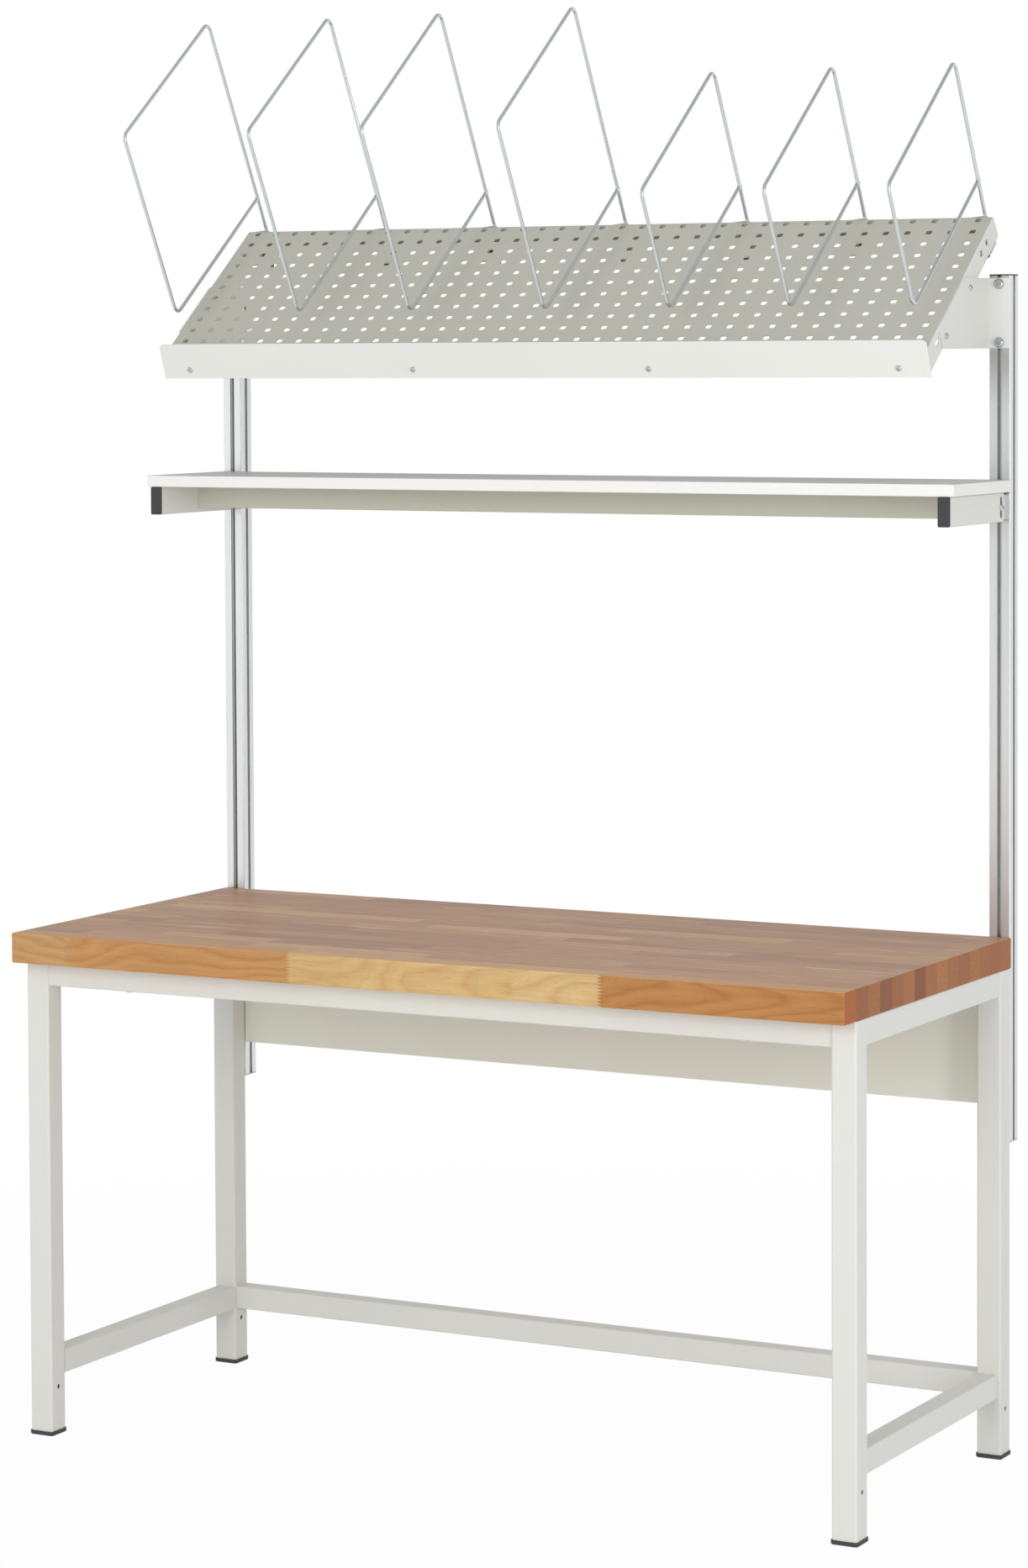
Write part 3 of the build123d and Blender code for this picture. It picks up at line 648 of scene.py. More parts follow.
@dataclass(frozen=True)
class MouldedPlastic(Finish):
    """Moulded plastic with a fine spark-eroded grain."""

    name: str
    colour: Colour
    roughness: float = 0.5
    low_colour: Colour = shade(190, 191, 190)
    low_level: float = -1.0

    def write(self, graph: Graph) -> None:
        """Write grained plastic, greyer where it is scuffed, and light below its low level.

        Args:
            graph: The material's nodes.
        """
        place = graph.place()
        grain = graph.noise(place, 1300.0, 2.0)
        scuff = graph.noise(place, 60.0, 5.0, 0.4).ease(0.55, 0.8)
        colour = graph.mix(scuff * 0.2, self.colour, shade(60, 60, 58))
        low = 1.0 - graph.parts(place)[2].above(self.low_level)
        graph.surface(
            Base_Color=graph.mix(low, colour, self.low_colour),
            Roughness=self.roughness + 0.14 * grain,
            Specular_IOR_Level=0.25,
            Normal=graph.bump(grain, 0.00006, 0.6),
        )


FRAME_PAINT = PowderCoat("frame_powder_coat", shade(224, 225, 220))
LIP_PAINT = PowderCoat("lip_powder_coat", shade(232, 233, 229), roughness=0.36)
# Painted light: the panel is painted lighter and yellower than the frame's light grey, standing in for
# light bounced onto it from the wooden top above.
LIT_PANEL_PAINT = PowderCoat("panel_powder_coat_painted_light", shade(234, 237, 225), roughness=0.46, cloud=0.05)
# Painted shade: the beam's paint is a darker copy of the panel's light grey, standing in for the shelf's
# shadow on the beam.
SHADED_BEAM_PAINT = PowderCoat("beam_powder_coat_painted_shade", shade(199, 200, 185), roughness=0.44)
# Painted shade: the tray's paint is a darker copy of the frame's light grey, standing in for the lesser
# light on the tray's sloping top.
SHADED_TRAY_PAINT = PowderCoat("tray_powder_coat_painted_shade", shade(190, 189, 178), roughness=0.33)
# Painted light: the face tone is painted darker and the band tone lighter.
BOARD = Laminate("shelf_laminate", shade(208, 209, 206), shade(242, 242, 239))
ALUMINIUM = DrawnAluminium("drawn_aluminium", (0.76, 0.77, 0.77, 1.0))
WIRE_ZINC = ZincPlate("bright_zinc_wire", (0.64, 0.67, 0.68, 1.0), roughness=0.3)
# Painted shade: the plate's side faces are darkened to 12 per cent where asked.
PLATE_ZINC = ZincPlate("zinc_plate", (0.72, 0.74, 0.78, 1.0), roughness=0.3, painted_shade_tone=0.12)
BOLT_ZINC = ZincPlate("zinc_bolt", (0.52, 0.55, 0.56, 1.0), roughness=0.17, cloud=0.06)
BLACK_PLASTIC = MouldedPlastic("black_plastic", shade(18, 18, 18))
CAP_PLASTIC = MouldedPlastic("post_cap_plastic", shade(18, 18, 18), low_level=1.0)


class Drive(Enum):
    """The recess in a screw's head."""

    HEX = "hexagon socket"
    CROSS = "cross recess"


@dataclass(frozen=True)
class Seat:
    """Where a screw's head sits and which way it faces."""

    point: Vector
    out: Vector

    def matrix(self) -> Matrix:
        """Return the transform that puts a screw drawn along +Z into this seat."""
        return Matrix.Translation(self.point) @ self.out.to_track_quat("Z", "Y").to_matrix().to_4x4()


@dataclass(frozen=True)
class Fastener:
    """A screw with a rounded head, a recess and a grooved shank.

    The sizes from tip on, and the nut's height, are shares of the shank's or the head's own size.
    """

    head_radius: float
    head_height: float
    shank_radius: float
    length: float
    drive: Drive
    nut_depth: float = 0.0
    nut_radius: float = 0.0
    nut_height: float = 1.8
    nut_chamfer: float = 0.0004
    steps: int = 32
    thread_pitch: float = 0.001
    tip: float = 0.72
    groove: float = 0.86
    underside: float = 0.97
    mouth: float = 0.58
    brim: float = 0.14
    recess: float = 0.55
    hex_reach: float = 0.34
    cross_reach: float = 0.52
    cross_width: float = 0.13

    def _recess_reach(self, angle: float) -> float:
        """Return the recess's outline at an angle.

        Args:
            angle: The angle round the axis.

        Returns:
            The distance from the axis.
        """
        if self.drive is Drive.HEX:
            sixth = math.pi / 3
            turn = angle % sixth - sixth / 2
            return self.head_radius * self.hex_reach / math.cos(turn)
        quarter = math.pi / 2
        turn = abs((angle + quarter / 2) % quarter - quarter / 2)
        arm = self.head_radius * self.cross_reach / math.cos(turn)
        flank = self.head_radius * self.cross_width / max(math.sin(turn), 1e-3)
        return min(arm, flank)

    def _outline(self) -> list[tuple[float, float]]:
        """Draw the outline up the shank and over the head to the recess's mouth.

        Returns:
            The radius and height of its points.
        """
        points = [(self.shank_radius * self.tip, -self.length)]
        height = -self.length + self.thread_pitch / 2
        while height < -self.thread_pitch:
            points.append((self.shank_radius, height))
            points.append((self.shank_radius * self.groove, height + self.thread_pitch / 2))
            height += self.thread_pitch
        points += [(self.shank_radius, 0.0), (self.head_radius * self.underside, 0.0)]
        mouth = self.head_radius * self.mouth
        for step in range(7):
            turn = step / 6 * math.pi / 2
            radius = mouth + (self.head_radius - mouth) * math.cos(turn)
            points.append((radius, self.head_height * (self.brim + (1.0 - self.brim) * math.sin(turn))))
        return points

    def add(self, mesh: bmesh.types.BMesh, seat: Seat) -> None:
        """Add the screw, with its nut if it has one, to a mesh.

        Args:
            mesh: The mesh.
            seat: Where it sits.
        """
        old = set(mesh.verts)
        spun(mesh, self._outline(), self.steps)
        top = max(vert.co.z for vert in mesh.verts if vert not in old)
        rim = [edge for edge in mesh.edges if edge.is_boundary and edge.verts[0] not in old
               and min(vert.co.z for vert in edge.verts) > top - TOUCH]
        for drop in (0.0, self.head_height * self.recess):
            grown = bmesh.ops.extrude_edge_only(mesh, edges=rim)["geom"]
            for vert in (item for item in grown if isinstance(item, bmesh.types.BMVert)):
                if drop == 0.0:
                    angle = math.atan2(vert.co.y, vert.co.x)
                    reach = self._recess_reach(angle)
                    vert.co = Vector((reach * math.cos(angle), reach * math.sin(angle), vert.co.z))
                vert.co.z -= drop
            rim = [item for item in grown if isinstance(item, bmesh.types.BMEdge) and item.is_boundary]
        bmesh.ops.edgeloop_fill(mesh, edges=rim)
        tail = [edge for edge in mesh.edges if edge.is_boundary and edge.verts[0] not in old]
        bmesh.ops.edgeloop_fill(mesh, edges=tail)
        if self.nut_radius:
            self._add_nut(mesh)
        made = [vert for vert in mesh.verts if vert not in old]
        bmesh.ops.transform(mesh, matrix=seat.matrix(), verts=made)

    def _add_nut(self, mesh: bmesh.types.BMesh) -> None:
        """Add a hexagon nut at its depth below the head, chamfered and bored.

        Args:
            mesh: The mesh.
        """
        old = set(mesh.verts)
        bore = self.shank_radius * 0.99
        low = -self.nut_depth - self.nut_height * self.shank_radius
        top = -self.nut_depth
        outline = [(bore, low), (self.nut_radius, low), (self.nut_radius, top), (bore, top)]
        spun(mesh, outline, 6, closed=True)
        outer = [edge for edge in mesh.edges if edge.verts[0] not in old
                 and min(vert.co.xy.length for vert in edge.verts) > bore * 1.2]
        bevelled(mesh, outer, self.nut_chamfer, 1)


def bevelled(
    mesh: bmesh.types.BMesh, geom: list, reach: float, segments: int, affect: str = "EDGES"
) -> None:
    """Bevel edges or corners.

    Args:
        mesh: The mesh.
        geom: The edges, or the corners' vertices.
        reach: How far the bevel reaches.
        segments: How many faces it has across.
        affect: EDGES, or VERTICES for corners.
    """
    bmesh.ops.bevel(
        mesh, geom=geom, offset=reach, segments=segments, profile=0.5, affect=affect, material=-1
    )


def spun(
    mesh: bmesh.types.BMesh, outline: Sequence[tuple[float, float]], steps: int, closed: bool = False
) -> None:
    """Spin an outline of radius and height round Z.

    Args:
        mesh: The mesh that it is added to.
        outline: The outline's points.
        steps: How many steps a full turn has.
        closed: True if the last point joins the first.
    """
    verts = [mesh.verts.new((radius, 0.0, height)) for radius, height in outline]
    edges = [mesh.edges.new(pair) for pair in zip(verts, verts[1:])]
    if closed:
        edges.append(mesh.edges.new((verts[-1], verts[0])))
    bmesh.ops.spin(mesh, geom=verts + edges, cent=(0, 0, 0), axis=(0, 0, 1), dvec=(0, 0, 0),
                   angle=2 * math.pi, steps=steps, use_merge=True, use_duplicate=False)


def linked(name: str, data: bpy.types.ID) -> bpy.types.Object:
    """Make an object and link it to the scene.

    Args:
        name: Its name.
        data: Its mesh, light or camera.

    Returns:
        The object.
    """
    made = bpy.data.objects.new(name, data)
    bpy.context.scene.collection.objects.link(made)
    return made


def object_from(name: str, mesh: bmesh.types.BMesh) -> bpy.types.Object:
    """Turn a mesh into an object in the scene.

    Args:
        name: The object's name.
        mesh: Its mesh, which is freed.

    Returns:
        The object.
    """
    data = bpy.data.meshes.new(name)
    mesh.to_mesh(data)
    mesh.free()
    return linked(name, data)


def piece_from(
    name: str,
    mesh: bmesh.types.BMesh,
    body: str,
    finish: Finish,
    nodes: Iterable[str] = (),
    smooth_below: float = 40.0,
) -> bpy.types.Object:
    """Turn a mesh into a finished piece that rides on a body.

    Args:
        name: The piece's name.
        mesh: Its mesh, which is freed.
        body: The body that it moves with.
        finish: Its finish.
        nodes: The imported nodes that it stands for.
        smooth_below: Edges with a smaller angle, in degrees, are shaded smooth.

    Returns:
        The piece.
    """
    bmesh.ops.remove_doubles(mesh, verts=mesh.verts, dist=TOUCH)
    bmesh.ops.recalc_face_normals(mesh, faces=mesh.faces)
    limit = math.radians(smooth_below)
    for face in mesh.faces:
        face.smooth = True
    for edge in mesh.edges:
        edge.smooth = len(edge.link_faces) == 2 and edge.calc_face_angle(math.pi) < limit
    piece = object_from(name, mesh)
    finish.lay(piece)
    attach(piece, body)
    if nodes:
        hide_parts(*nodes)
    log.info("%s rides on %s, %d faces", name, body, len(piece.data.polygons))
    return piece


def softened(node: bpy.types.Object, radius: float) -> bmesh.types.BMesh:
    """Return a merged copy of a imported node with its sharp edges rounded.

    Args:
        node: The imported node.
        radius: How far the rounding reaches.

    Returns:
        The copy.
    """
    mesh = bmesh.new()
    mesh.from_mesh(node.data)
    bmesh.ops.remove_doubles(mesh, verts=mesh.verts, dist=MERGE)
    bmesh.ops.dissolve_limit(mesh, angle_limit=math.radians(1.0), verts=mesh.verts, edges=mesh.edges)
    sharp = [edge for edge in mesh.edges if len(edge.link_faces) == 2 and edge.calc_face_angle() > SHARP]
    bevelled(mesh, sharp, radius, 2)
    return mesh


def folded_box(low: Vector, high: Vector, open_sides: Sequence[Vector], radius: float) -> bmesh.types.BMesh:
    """Return a box of sheet metal with open sides and rounded folds.

    Args:
        low: Its lowest corner.
        high: Its highest corner.
        open_sides: The directions that its missing sides face.
        radius: The outer radius of its folds.

    Returns:
        The box's outer skin.
    """
    mesh = bmesh.new()
    bmesh.ops.create_cube(mesh, size=1.0)
    bmesh.ops.scale(mesh, vec=high - low, verts=mesh.verts)
    bmesh.ops.translate(mesh, vec=(low + high) / 2, verts=mesh.verts)
    gone = [face for face in mesh.faces if any(face.normal.dot(side) > 0.9 for side in open_sides)]
    bmesh.ops.delete(mesh, geom=gone, context="FACES")
    folds = [edge for edge in mesh.edges if len(edge.link_faces) == 2]
    bevelled(mesh, folds, radius, 3)
    return mesh


def thicken(piece: bpy.types.Object, sheet: float) -> None:
    """Give a skin the thickness of its sheet, inwards.

    Args:
        piece: The piece.
        sheet: The sheet's thickness.
    """
    wall = piece.modifiers.new("sheet", "SOLIDIFY")
    wall.thickness = sheet
    wall.offset = -1.0
    wall.use_even_offset = True
    flatten(piece)


def flatten(piece: bpy.types.Object) -> None:
    """Shade a piece's large faces flat and its rounded edges smooth.

    Args:
        piece: The piece.
    """
    normals = piece.modifiers.new("normals", "WEIGHTED_NORMAL")
    normals.keep_sharp = True
    normals.weight = 100


@dataclass
class Assembly:
    """A sub-assembly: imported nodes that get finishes, and new pieces."""

    frame: dict
    body: str = ""
    finishes: dict[str, Finish] = field(default_factory=dict)

    def dress(self) -> None:
        """Lay each node's finish on it."""
        for node, finish in self.finishes.items():
            finish.lay(self.frame["nodes"][node])
            log.info("%s has %s", node, finish.name)

    def soften(self, node: str, radius: float, slot: str, finish: Finish) -> None:
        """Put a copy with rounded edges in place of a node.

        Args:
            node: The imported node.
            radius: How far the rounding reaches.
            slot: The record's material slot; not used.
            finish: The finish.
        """
        copy = softened(self.frame["nodes"][node], radius)
        flatten(piece_from(f"{node}_rounded", copy, self.body, finish, [node]))

    def screws(self, node: str, fastener: Fastener, seats: Sequence[Seat], name: str) -> None:
        """Put detailed screws in place of a node's plain ones.

        Args:
            node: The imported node.
            fastener: The screw.
            seats: Where the screws sit.
            name: The new piece's name.
        """
        mesh = bmesh.new()
        for seat in seats:
            fastener.add(mesh, seat)
        piece_from(name, mesh, self.body, BOLT_ZINC, [node])

    def bolts(self, node: str, bolt: Fastener, name: str) -> None:
        """Put detailed bolts, one above the other on each side, in place of a node's plain ones.

        Args:
            node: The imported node.
            bolt: The bolt.
            name: The new piece's name.
        """
        low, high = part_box(node)
        reach = bolt.head_radius
        seats = [Seat(Vector((side * (high.x - reach), low.y + bolt.head_height, z)), AHEAD)
                 for side in SIDES for z in (low.z + reach, high.z - reach)]
        self.screws(node, bolt, seats, name)


@dataclass
class Bench(Assembly):
    """The wooden top, its steel frame and the slotted posts."""

    body: str = "bench"
    leg_x: float = 0.729
    panel_sheet: float = 0.0015
    panel_flange: float = 0.0135
    panel_fold: float = 0.002
    panel_screw: Fastener = Fastener(0.005, 0.0025, 0.0025, 0.006, Drive.CROSS)
    panel_screw_count: int = 5
    top_screw: Fastener = Fastener(0.0065, 0.0035, 0.003, 0.075, Drive.CROSS)
    top_screw_pitch: float = 0.56
    plug_radius: float = 0.0052
    plug_taper: float = 0.9
    plug_thickness: float = 0.0008
    plug_rise: float = 0.0001
    plug_heights: tuple[float, ...] = (0.545, 0.72)

    def __post_init__(self) -> None:
        """Name each node's finish."""
        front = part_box("table_top")[0].y
        self.finishes = {"table_top": BlockWood("block_glued_wood", front)}
        for node in ("front_top_rail", "rear_top_rail", "rear_lower_rail", "post_spacers"):
            self.finishes[node] = FRAME_PAINT
        for side in SIDE_NAMES:
            for part in ("front_leg", "rear_leg", "top_rail", "lower_rail"):
                self.finishes[f"{side}_{part}"] = FRAME_PAINT
            for part in ("front_foot", "rear_foot"):
                self.finishes[f"{side}_{part}"] = BLACK_PLASTIC
            self.finishes[f"{side}_post"] = ALUMINIUM
        self.finishes["post_caps"] = CAP_PLASTIC
        for node in ("post_bolts", "post_nuts"):
            self.finishes[node] = BOLT_ZINC

    def build(self) -> None:
        """Dress the bench and add its panel, plugs and screws."""
        self.dress()
        self.build_panel()
        self.build_plugs()
        self.build_panel_screws()
        self.build_top_screws()

    def build_panel_screws(self) -> None:
        """Put detailed screws in a row across the rear panel."""
        screw = self.panel_screw
        low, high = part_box("rear_panel_screws")
        first = low.x + screw.head_radius
        pitch = (high.x - low.x - 2 * screw.head_radius) / (self.panel_screw_count - 1)
        seats = [Seat(Vector((first + i * pitch, high.y - screw.head_height, (low.z + high.z) / 2)), BEHIND)
                 for i in range(self.panel_screw_count)]
        self.screws("rear_panel_screws", screw, seats, "panel_screws")

    def build_top_screws(self) -> None:
        """Put detailed screws up through the top rails."""
        screw = self.top_screw
        low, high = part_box("table_top_screws")
        front, rear = low.y + screw.head_radius, high.y - screw.head_radius
        places = [(column * self.top_screw_pitch, y) for y in (front, rear) for column in (-1, 0, 1)]
        places += [(side * self.leg_x, (front + rear) / 2) for side in SIDES]
        seats = [Seat(Vector((x, y, low.z + screw.head_height)), DOWN) for x, y in places]
        self.screws("table_top_screws", screw, seats, "top_screws")

    def build_panel(self) -> None:
        """Fold the rear panel from one sheet, its flanges to the rear and open at the top."""
        low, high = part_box("rear_panel")
        front = high.y - self.panel_sheet
        near = Vector((low.x, front, low.z))
        far = Vector((high.x, front + self.panel_flange, high.z))
        skin = folded_box(near, far, [BEHIND, UP], self.panel_fold)
        # The panel takes the lighter paint, as painted light.
        piece = piece_from("rear_panel_folded", skin, self.body, LIT_PANEL_PAINT, ["rear_panel"])
        thicken(piece, self.panel_sheet)

    def build_plugs(self) -> None:
        """Close the bolts' access holes in the rear legs with flush painted plugs."""
        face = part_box("right_rear_leg")[0].y
        mesh = bmesh.new()
        for side in SIDES:
            for height in self.plug_heights:
                seat = Seat(Vector((side * self.leg_x, face, height)), AHEAD)
                grown = bmesh.ops.create_cone(
                    mesh, cap_ends=True, segments=32, radius1=self.plug_radius,
                    radius2=self.plug_radius * self.plug_taper, depth=self.plug_thickness,
                )["verts"]
                bmesh.ops.translate(mesh, vec=(0.0, 0.0, self.plug_rise), verts=grown)
                bmesh.ops.transform(mesh, matrix=seat.matrix(), verts=grown)
        piece_from("leg_plugs", mesh, self.body, FRAME_PAINT)


@dataclass
class Shelf(Assembly):
    """The shelf board on its beam and arms."""

    body: str = "shelf"
    arm_screw: Fastener = Fastener(0.0065, 0.003, 0.003, 0.0072, Drive.HEX)
    arm_bolt: Fastener = Fastener(0.006, 0.004, 0.003, 0.0104, Drive.HEX)

    def __post_init__(self) -> None:
        """Name each node's finish."""
        # The beam takes the darker paint, as painted shade under the board.
        self.finishes = {"shelf_board": BOARD, "shelf_beam": SHADED_BEAM_PAINT, "arm_caps": BLACK_PLASTIC,
                         "board_screws": BOLT_ZINC, "arm_nuts": BOLT_ZINC}
        arm_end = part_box("right_shelf_arm")[1].y
        for side in SIDE_NAMES:
            self.finishes[f"{side}_shelf_arm"] = FRAME_PAINT
            # The brackets' sides inside the arms get painted shade up to the arm's rear end.
            self.finishes[f"{side}_arm_bracket"] = replace(PLATE_ZINC, painted_shade_end=arm_end)

    def build(self) -> None:
        """Dress the shelf and add its bolts."""
        self.dress()
        low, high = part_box("arm_screws")
        y, z = (low.y + high.y) / 2, (low.z + high.z) / 2
        face = high.x - self.arm_screw.head_height
        seats = [Seat(Vector((side * face, y, z)), Vector((side, 0, 0))) for side in SIDES]
        self.screws("arm_screws", self.arm_screw, seats, "shelf_arm_screws")
        self.bolts("arm_bolts", self.arm_bolt, "shelf_arm_bolts")


@dataclass
class Magazine(Assembly):
    """The tilted tray, its lip and its brackets."""

    body: str = "magazine"
    tilt: float = math.radians(37.3)
    lean: float = math.radians(20.4)
    setback: float = 0.4202
    height: float = 1.805
    half_width: float = 0.708
    length: float = 0.362
    sheet: float = 0.0015
    fold_radius: float = 0.0025
    front_drop: float = 0.0364
    rear_drop: float = 0.034
    rear_return: float = 0.018
    side_drop: float = 0.0375
    side_return: float = 0.01
    columns: int = 37
    rows: int = 12
    column_pitch: float = 0.038
    row_pitch: float = 0.03125
    hole: float = 0.0108
    hole_corner: float = 0.0026
    flange_holes: tuple[tuple[float, float, float, float], ...] = (
        (0.3112, 0.0155, 0.01, 0.01),
        (0.2823, 0.0155, 0.01, 0.01),
        (0.046, 0.0188, 0.0165, 0.0145),
    )
    hole_inset: float = 0.0011
    flange_hole_corner: float = 0.0018
    lean_start: float = 8.0
    edge_rounding: float = 0.0009
    lip_sheet: float = 0.002
    lip_screw: Fastener = Fastener(0.005, 0.0025, 0.0025, 0.0055, Drive.CROSS)
    lip_screw_drop: float = 0.026
    lip_screw_pitch: float = 0.439
    lip_screw_count: int = 4
    bracket_bolt: Fastener = Fastener(0.0085, 0.0055, 0.003, 0.0104, Drive.HEX)
    bracket_screw: Fastener = Fastener(
        0.005, 0.003, 0.0025, 0.01, Drive.CROSS, nut_depth=0.0045, nut_radius=0.0046
    )
    bracket_sheet: float = 0.003
    bracket_screw_drop: float = 0.0263
    bracket_screw_reaches: tuple[float, ...] = (0.0768, 0.2041)

    def __post_init__(self) -> None:
        """Name each node's finish."""
        self.edge_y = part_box("table_top")[0].y + self.setback
        self.finishes = {"bracket_nuts": BOLT_ZINC}

    def on_tray(self, x: float, reach: float, rise: float = 0.0) -> Vector:
        """Return a point on the tray.

        Args:
            x: Its place across the tray.
            reach: How far it is up the slope from the lip.
            rise: How far it is off the surface.

        Returns:
            The point.
        """
        return Vector((
            x,
            self.edge_y + reach * math.cos(self.tilt) - rise * math.sin(self.tilt),
            self.height + reach * math.sin(self.tilt) + rise * math.cos(self.tilt),
        ))

    def local(self) -> Matrix:
        """Return the transform from across, up the slope and off the surface to the model."""
        return Matrix.Translation((0.0, self.edge_y, self.height)) @ Matrix.Rotation(self.tilt, 4, "X")

    def build_tray(self) -> None:
        """Fold and perforate the tray's sheet."""
        lean = math.tan(self.tilt - self.lean)
        low = Vector((-self.half_width, 0.0, -self.rear_drop))
        high = Vector((self.half_width, self.length, 0.0))
        mesh = folded_box(low, high, [DOWN], self.fold_radius)
        for vert in mesh.verts:
            share = (self.length - vert.co.y) / self.length
            ramp = share * self.lean_start - (self.lean_start - 1.0)
            vert.co.y += vert.co.z * lean * min(max(ramp, 0.0), 1.0)
        self.add_flange_ends(mesh, lean)
        self.pierce_flanges(mesh)
        self.pierce_top(mesh)
        bmesh.ops.transform(mesh, matrix=self.local(), verts=mesh.verts)
        piece = piece_from("tray_folded", mesh, self.body, SHADED_TRAY_PAINT, ["tray"])
        # Painted shade: the side flanges keep the frame's paint, and every other face takes the darker
        # copy.
        piece.data.materials.append(FRAME_PAINT.material())
        for face in piece.data.polygons:
            face.material_index = int(abs(face.normal.x) > 0.5)
        thicken(piece, self.sheet)

    def add_flange_ends(self, mesh: bmesh.types.BMesh, lean: float) -> None:
        """Lengthen the flanges to their own depths and turn their ends in.

        Args:
            mesh: The tray's skin.
            lean: How far the front flange leads per metre of depth.
        """
        rim = [edge for edge in mesh.edges if edge.is_boundary]
        sides = [edge for edge in rim
                 if all(abs(abs(vert.co.x) - self.half_width) < NEAR for vert in edge.verts)]
        front = [edge for edge in rim
                 if all(vert.co.y < 0.0 and abs(vert.co.x) < self.half_width for vert in edge.verts)]
        rear = [edge for edge in rim if all(vert.co.y > self.length - NEAR for vert in edge.verts)]
        more = self.side_drop - self.rear_drop
        grown = self.extended(mesh, sides, Vector((0.0, 0.0, -more)))
        for side in SIDES:
            own = [edge for edge in grown if edge.verts[0].co.x * side > 0]
            self.extended(mesh, own, Vector((-side * self.side_return, 0.0, 0.0)))
        more = self.front_drop - self.rear_drop
        self.extended(mesh, front, Vector((0.0, -more * lean, -more)))
        self.extended(mesh, rear, Vector((0.0, -self.rear_return, 0.0)))

    def extended(
        self, mesh: bmesh.types.BMesh, edges: Sequence[bmesh.types.BMEdge], step: Vector
    ) -> list[bmesh.types.BMEdge]:
        """Extrude edges by a step.

        Args:
            mesh: The mesh.
            edges: The edges.
            step: How far and which way.

        Returns:
            The new edges.
        """
        made = bmesh.ops.extrude_edge_only(mesh, edges=edges)["geom"]
        verts = [item for item in made if isinstance(item, bmesh.types.BMVert)]
        bmesh.ops.translate(mesh, vec=step, verts=verts)
        old = {vert for edge in edges for vert in edge.verts}
        return [item for item in made if isinstance(item, bmesh.types.BMEdge) and item.is_boundary
                and not old.intersection(item.verts)]

    def pierce_flanges(self, mesh: bmesh.types.BMesh) -> None:
        """Cut the holes in both side flanges, with rounded corners.

        Args:
            mesh: The tray's skin.
        """
        for x in (-self.half_width, self.half_width):
            for reach, depth, width, height in self.flange_holes:
                low = Vector((0.0, reach - width / 2, -depth - height / 2))
                high = Vector((0.0, reach + width / 2, -depth + height / 2))
                for corner in (low, high):
                    for axis in (BEHIND, UP):
                        wall = [face for face in mesh.faces
                                if all(abs(vert.co.x - x) < NEAR for vert in face.verts)]
                        self.cut(mesh, wall, corner, axis)
                middle = (low + high) / 2
                middle.x = x
                hole = min(mesh.faces, key=lambda face: (face.calc_center_median() - middle).length)
                self.open_hole(mesh, [hole], self.flange_hole_corner)

    def pierce_top(self, mesh: bmesh.types.BMesh) -> None:
        """Cut the rows of square holes with rounded corners.

        Args:
            mesh: The tray's skin.
        """
        lines = [(Vector((column * self.column_pitch, 0, 0)), Vector((1, 0, 0)))
                 for column in (i + 0.5 - self.columns / 2 + 0.5 for i in range(self.columns - 1))]
        middle = self.length / 2
        lines += [(Vector((0, middle + (i + 1 - self.rows / 2) * self.row_pitch, 0)), BEHIND)
                  for i in range(self.rows - 1)]
        for point, axis in lines:
            self.cut(mesh, self.top_faces(mesh), point, axis)
        cells = self.top_faces(mesh)
        bmesh.ops.inset_individual(mesh, faces=cells, thickness=self.hole_inset, depth=0.0)
        for cell in cells:
            centre = cell.calc_center_median()
            x = round(centre.x / self.column_pitch) * self.column_pitch
            row = round((centre.y - middle) / self.row_pitch - 0.5) + 0.5
            y = middle + row * self.row_pitch
            for vert in cell.verts:
                vert.co.x = x + math.copysign(self.hole / 2, vert.co.x - x)
                vert.co.y = y + math.copysign(self.hole / 2, vert.co.y - y)
        self.open_hole(mesh, cells, self.hole_corner)

    def top_faces(self, mesh: bmesh.types.BMesh) -> list[bmesh.types.BMFace]:
        """Return the faces that lie in the tray's surface."""
        return [face for face in mesh.faces if all(abs(vert.co.z) < TOUCH for vert in face.verts)]

    def cut(
        self, mesh: bmesh.types.BMesh, faces: Sequence[bmesh.types.BMFace], point: Vector, axis: Vector
    ) -> None:
        """Cut faces along a plane.

        Args:
            mesh: The mesh.
            faces: The faces.
            point: A point of the plane.
            axis: Its normal.
        """
        edges = {edge for face in faces for edge in face.edges}
        verts = {vert for face in faces for vert in face.verts}
        bmesh.ops.bisect_plane(
            mesh, geom=[*faces, *edges, *verts], dist=TOUCH, plane_co=point, plane_no=axis
        )

    def open_hole(
        self, mesh: bmesh.types.BMesh, faces: Sequence[bmesh.types.BMFace], corner: float
    ) -> None:
        """Round the corners of faces and take the faces out.

        Args:
            mesh: The mesh.
            faces: The faces.
            corner: How far the rounding reaches.
        """
        centres = [face.calc_center_median() for face in faces]
        half_side = max(face.calc_perimeter() for face in faces) / 8
        corners = [vert for face in faces for vert in face.verts]
        bevelled(mesh, corners, corner, 2, "VERTICES")
        tree = KDTree(len(centres))
        for index, centre in enumerate(centres):
            tree.insert(centre, index)
        tree.balance()
        gone = [face for face in mesh.faces
                if len(face.verts) >= 8 and tree.find(face.calc_center_median())[2] < half_side / 10]
        bmesh.ops.delete(mesh, geom=gone, context="FACES")

    def build(self) -> None:
        """Dress the magazine and add its tray, bolts and screws."""
        self.dress()
        self.build_tray()
        self.soften("front_lip", self.edge_rounding, "lip_paint", LIP_PAINT)
        for side in SIDE_NAMES:
            self.soften(f"{side}_tray_bracket", self.edge_rounding, "frame_paint", FRAME_PAINT)
        self.build_lip_screws()
        self.bolts("bracket_bolts", self.bracket_bolt, "bracket_bolts_detailed")
        self.build_bracket_screws()

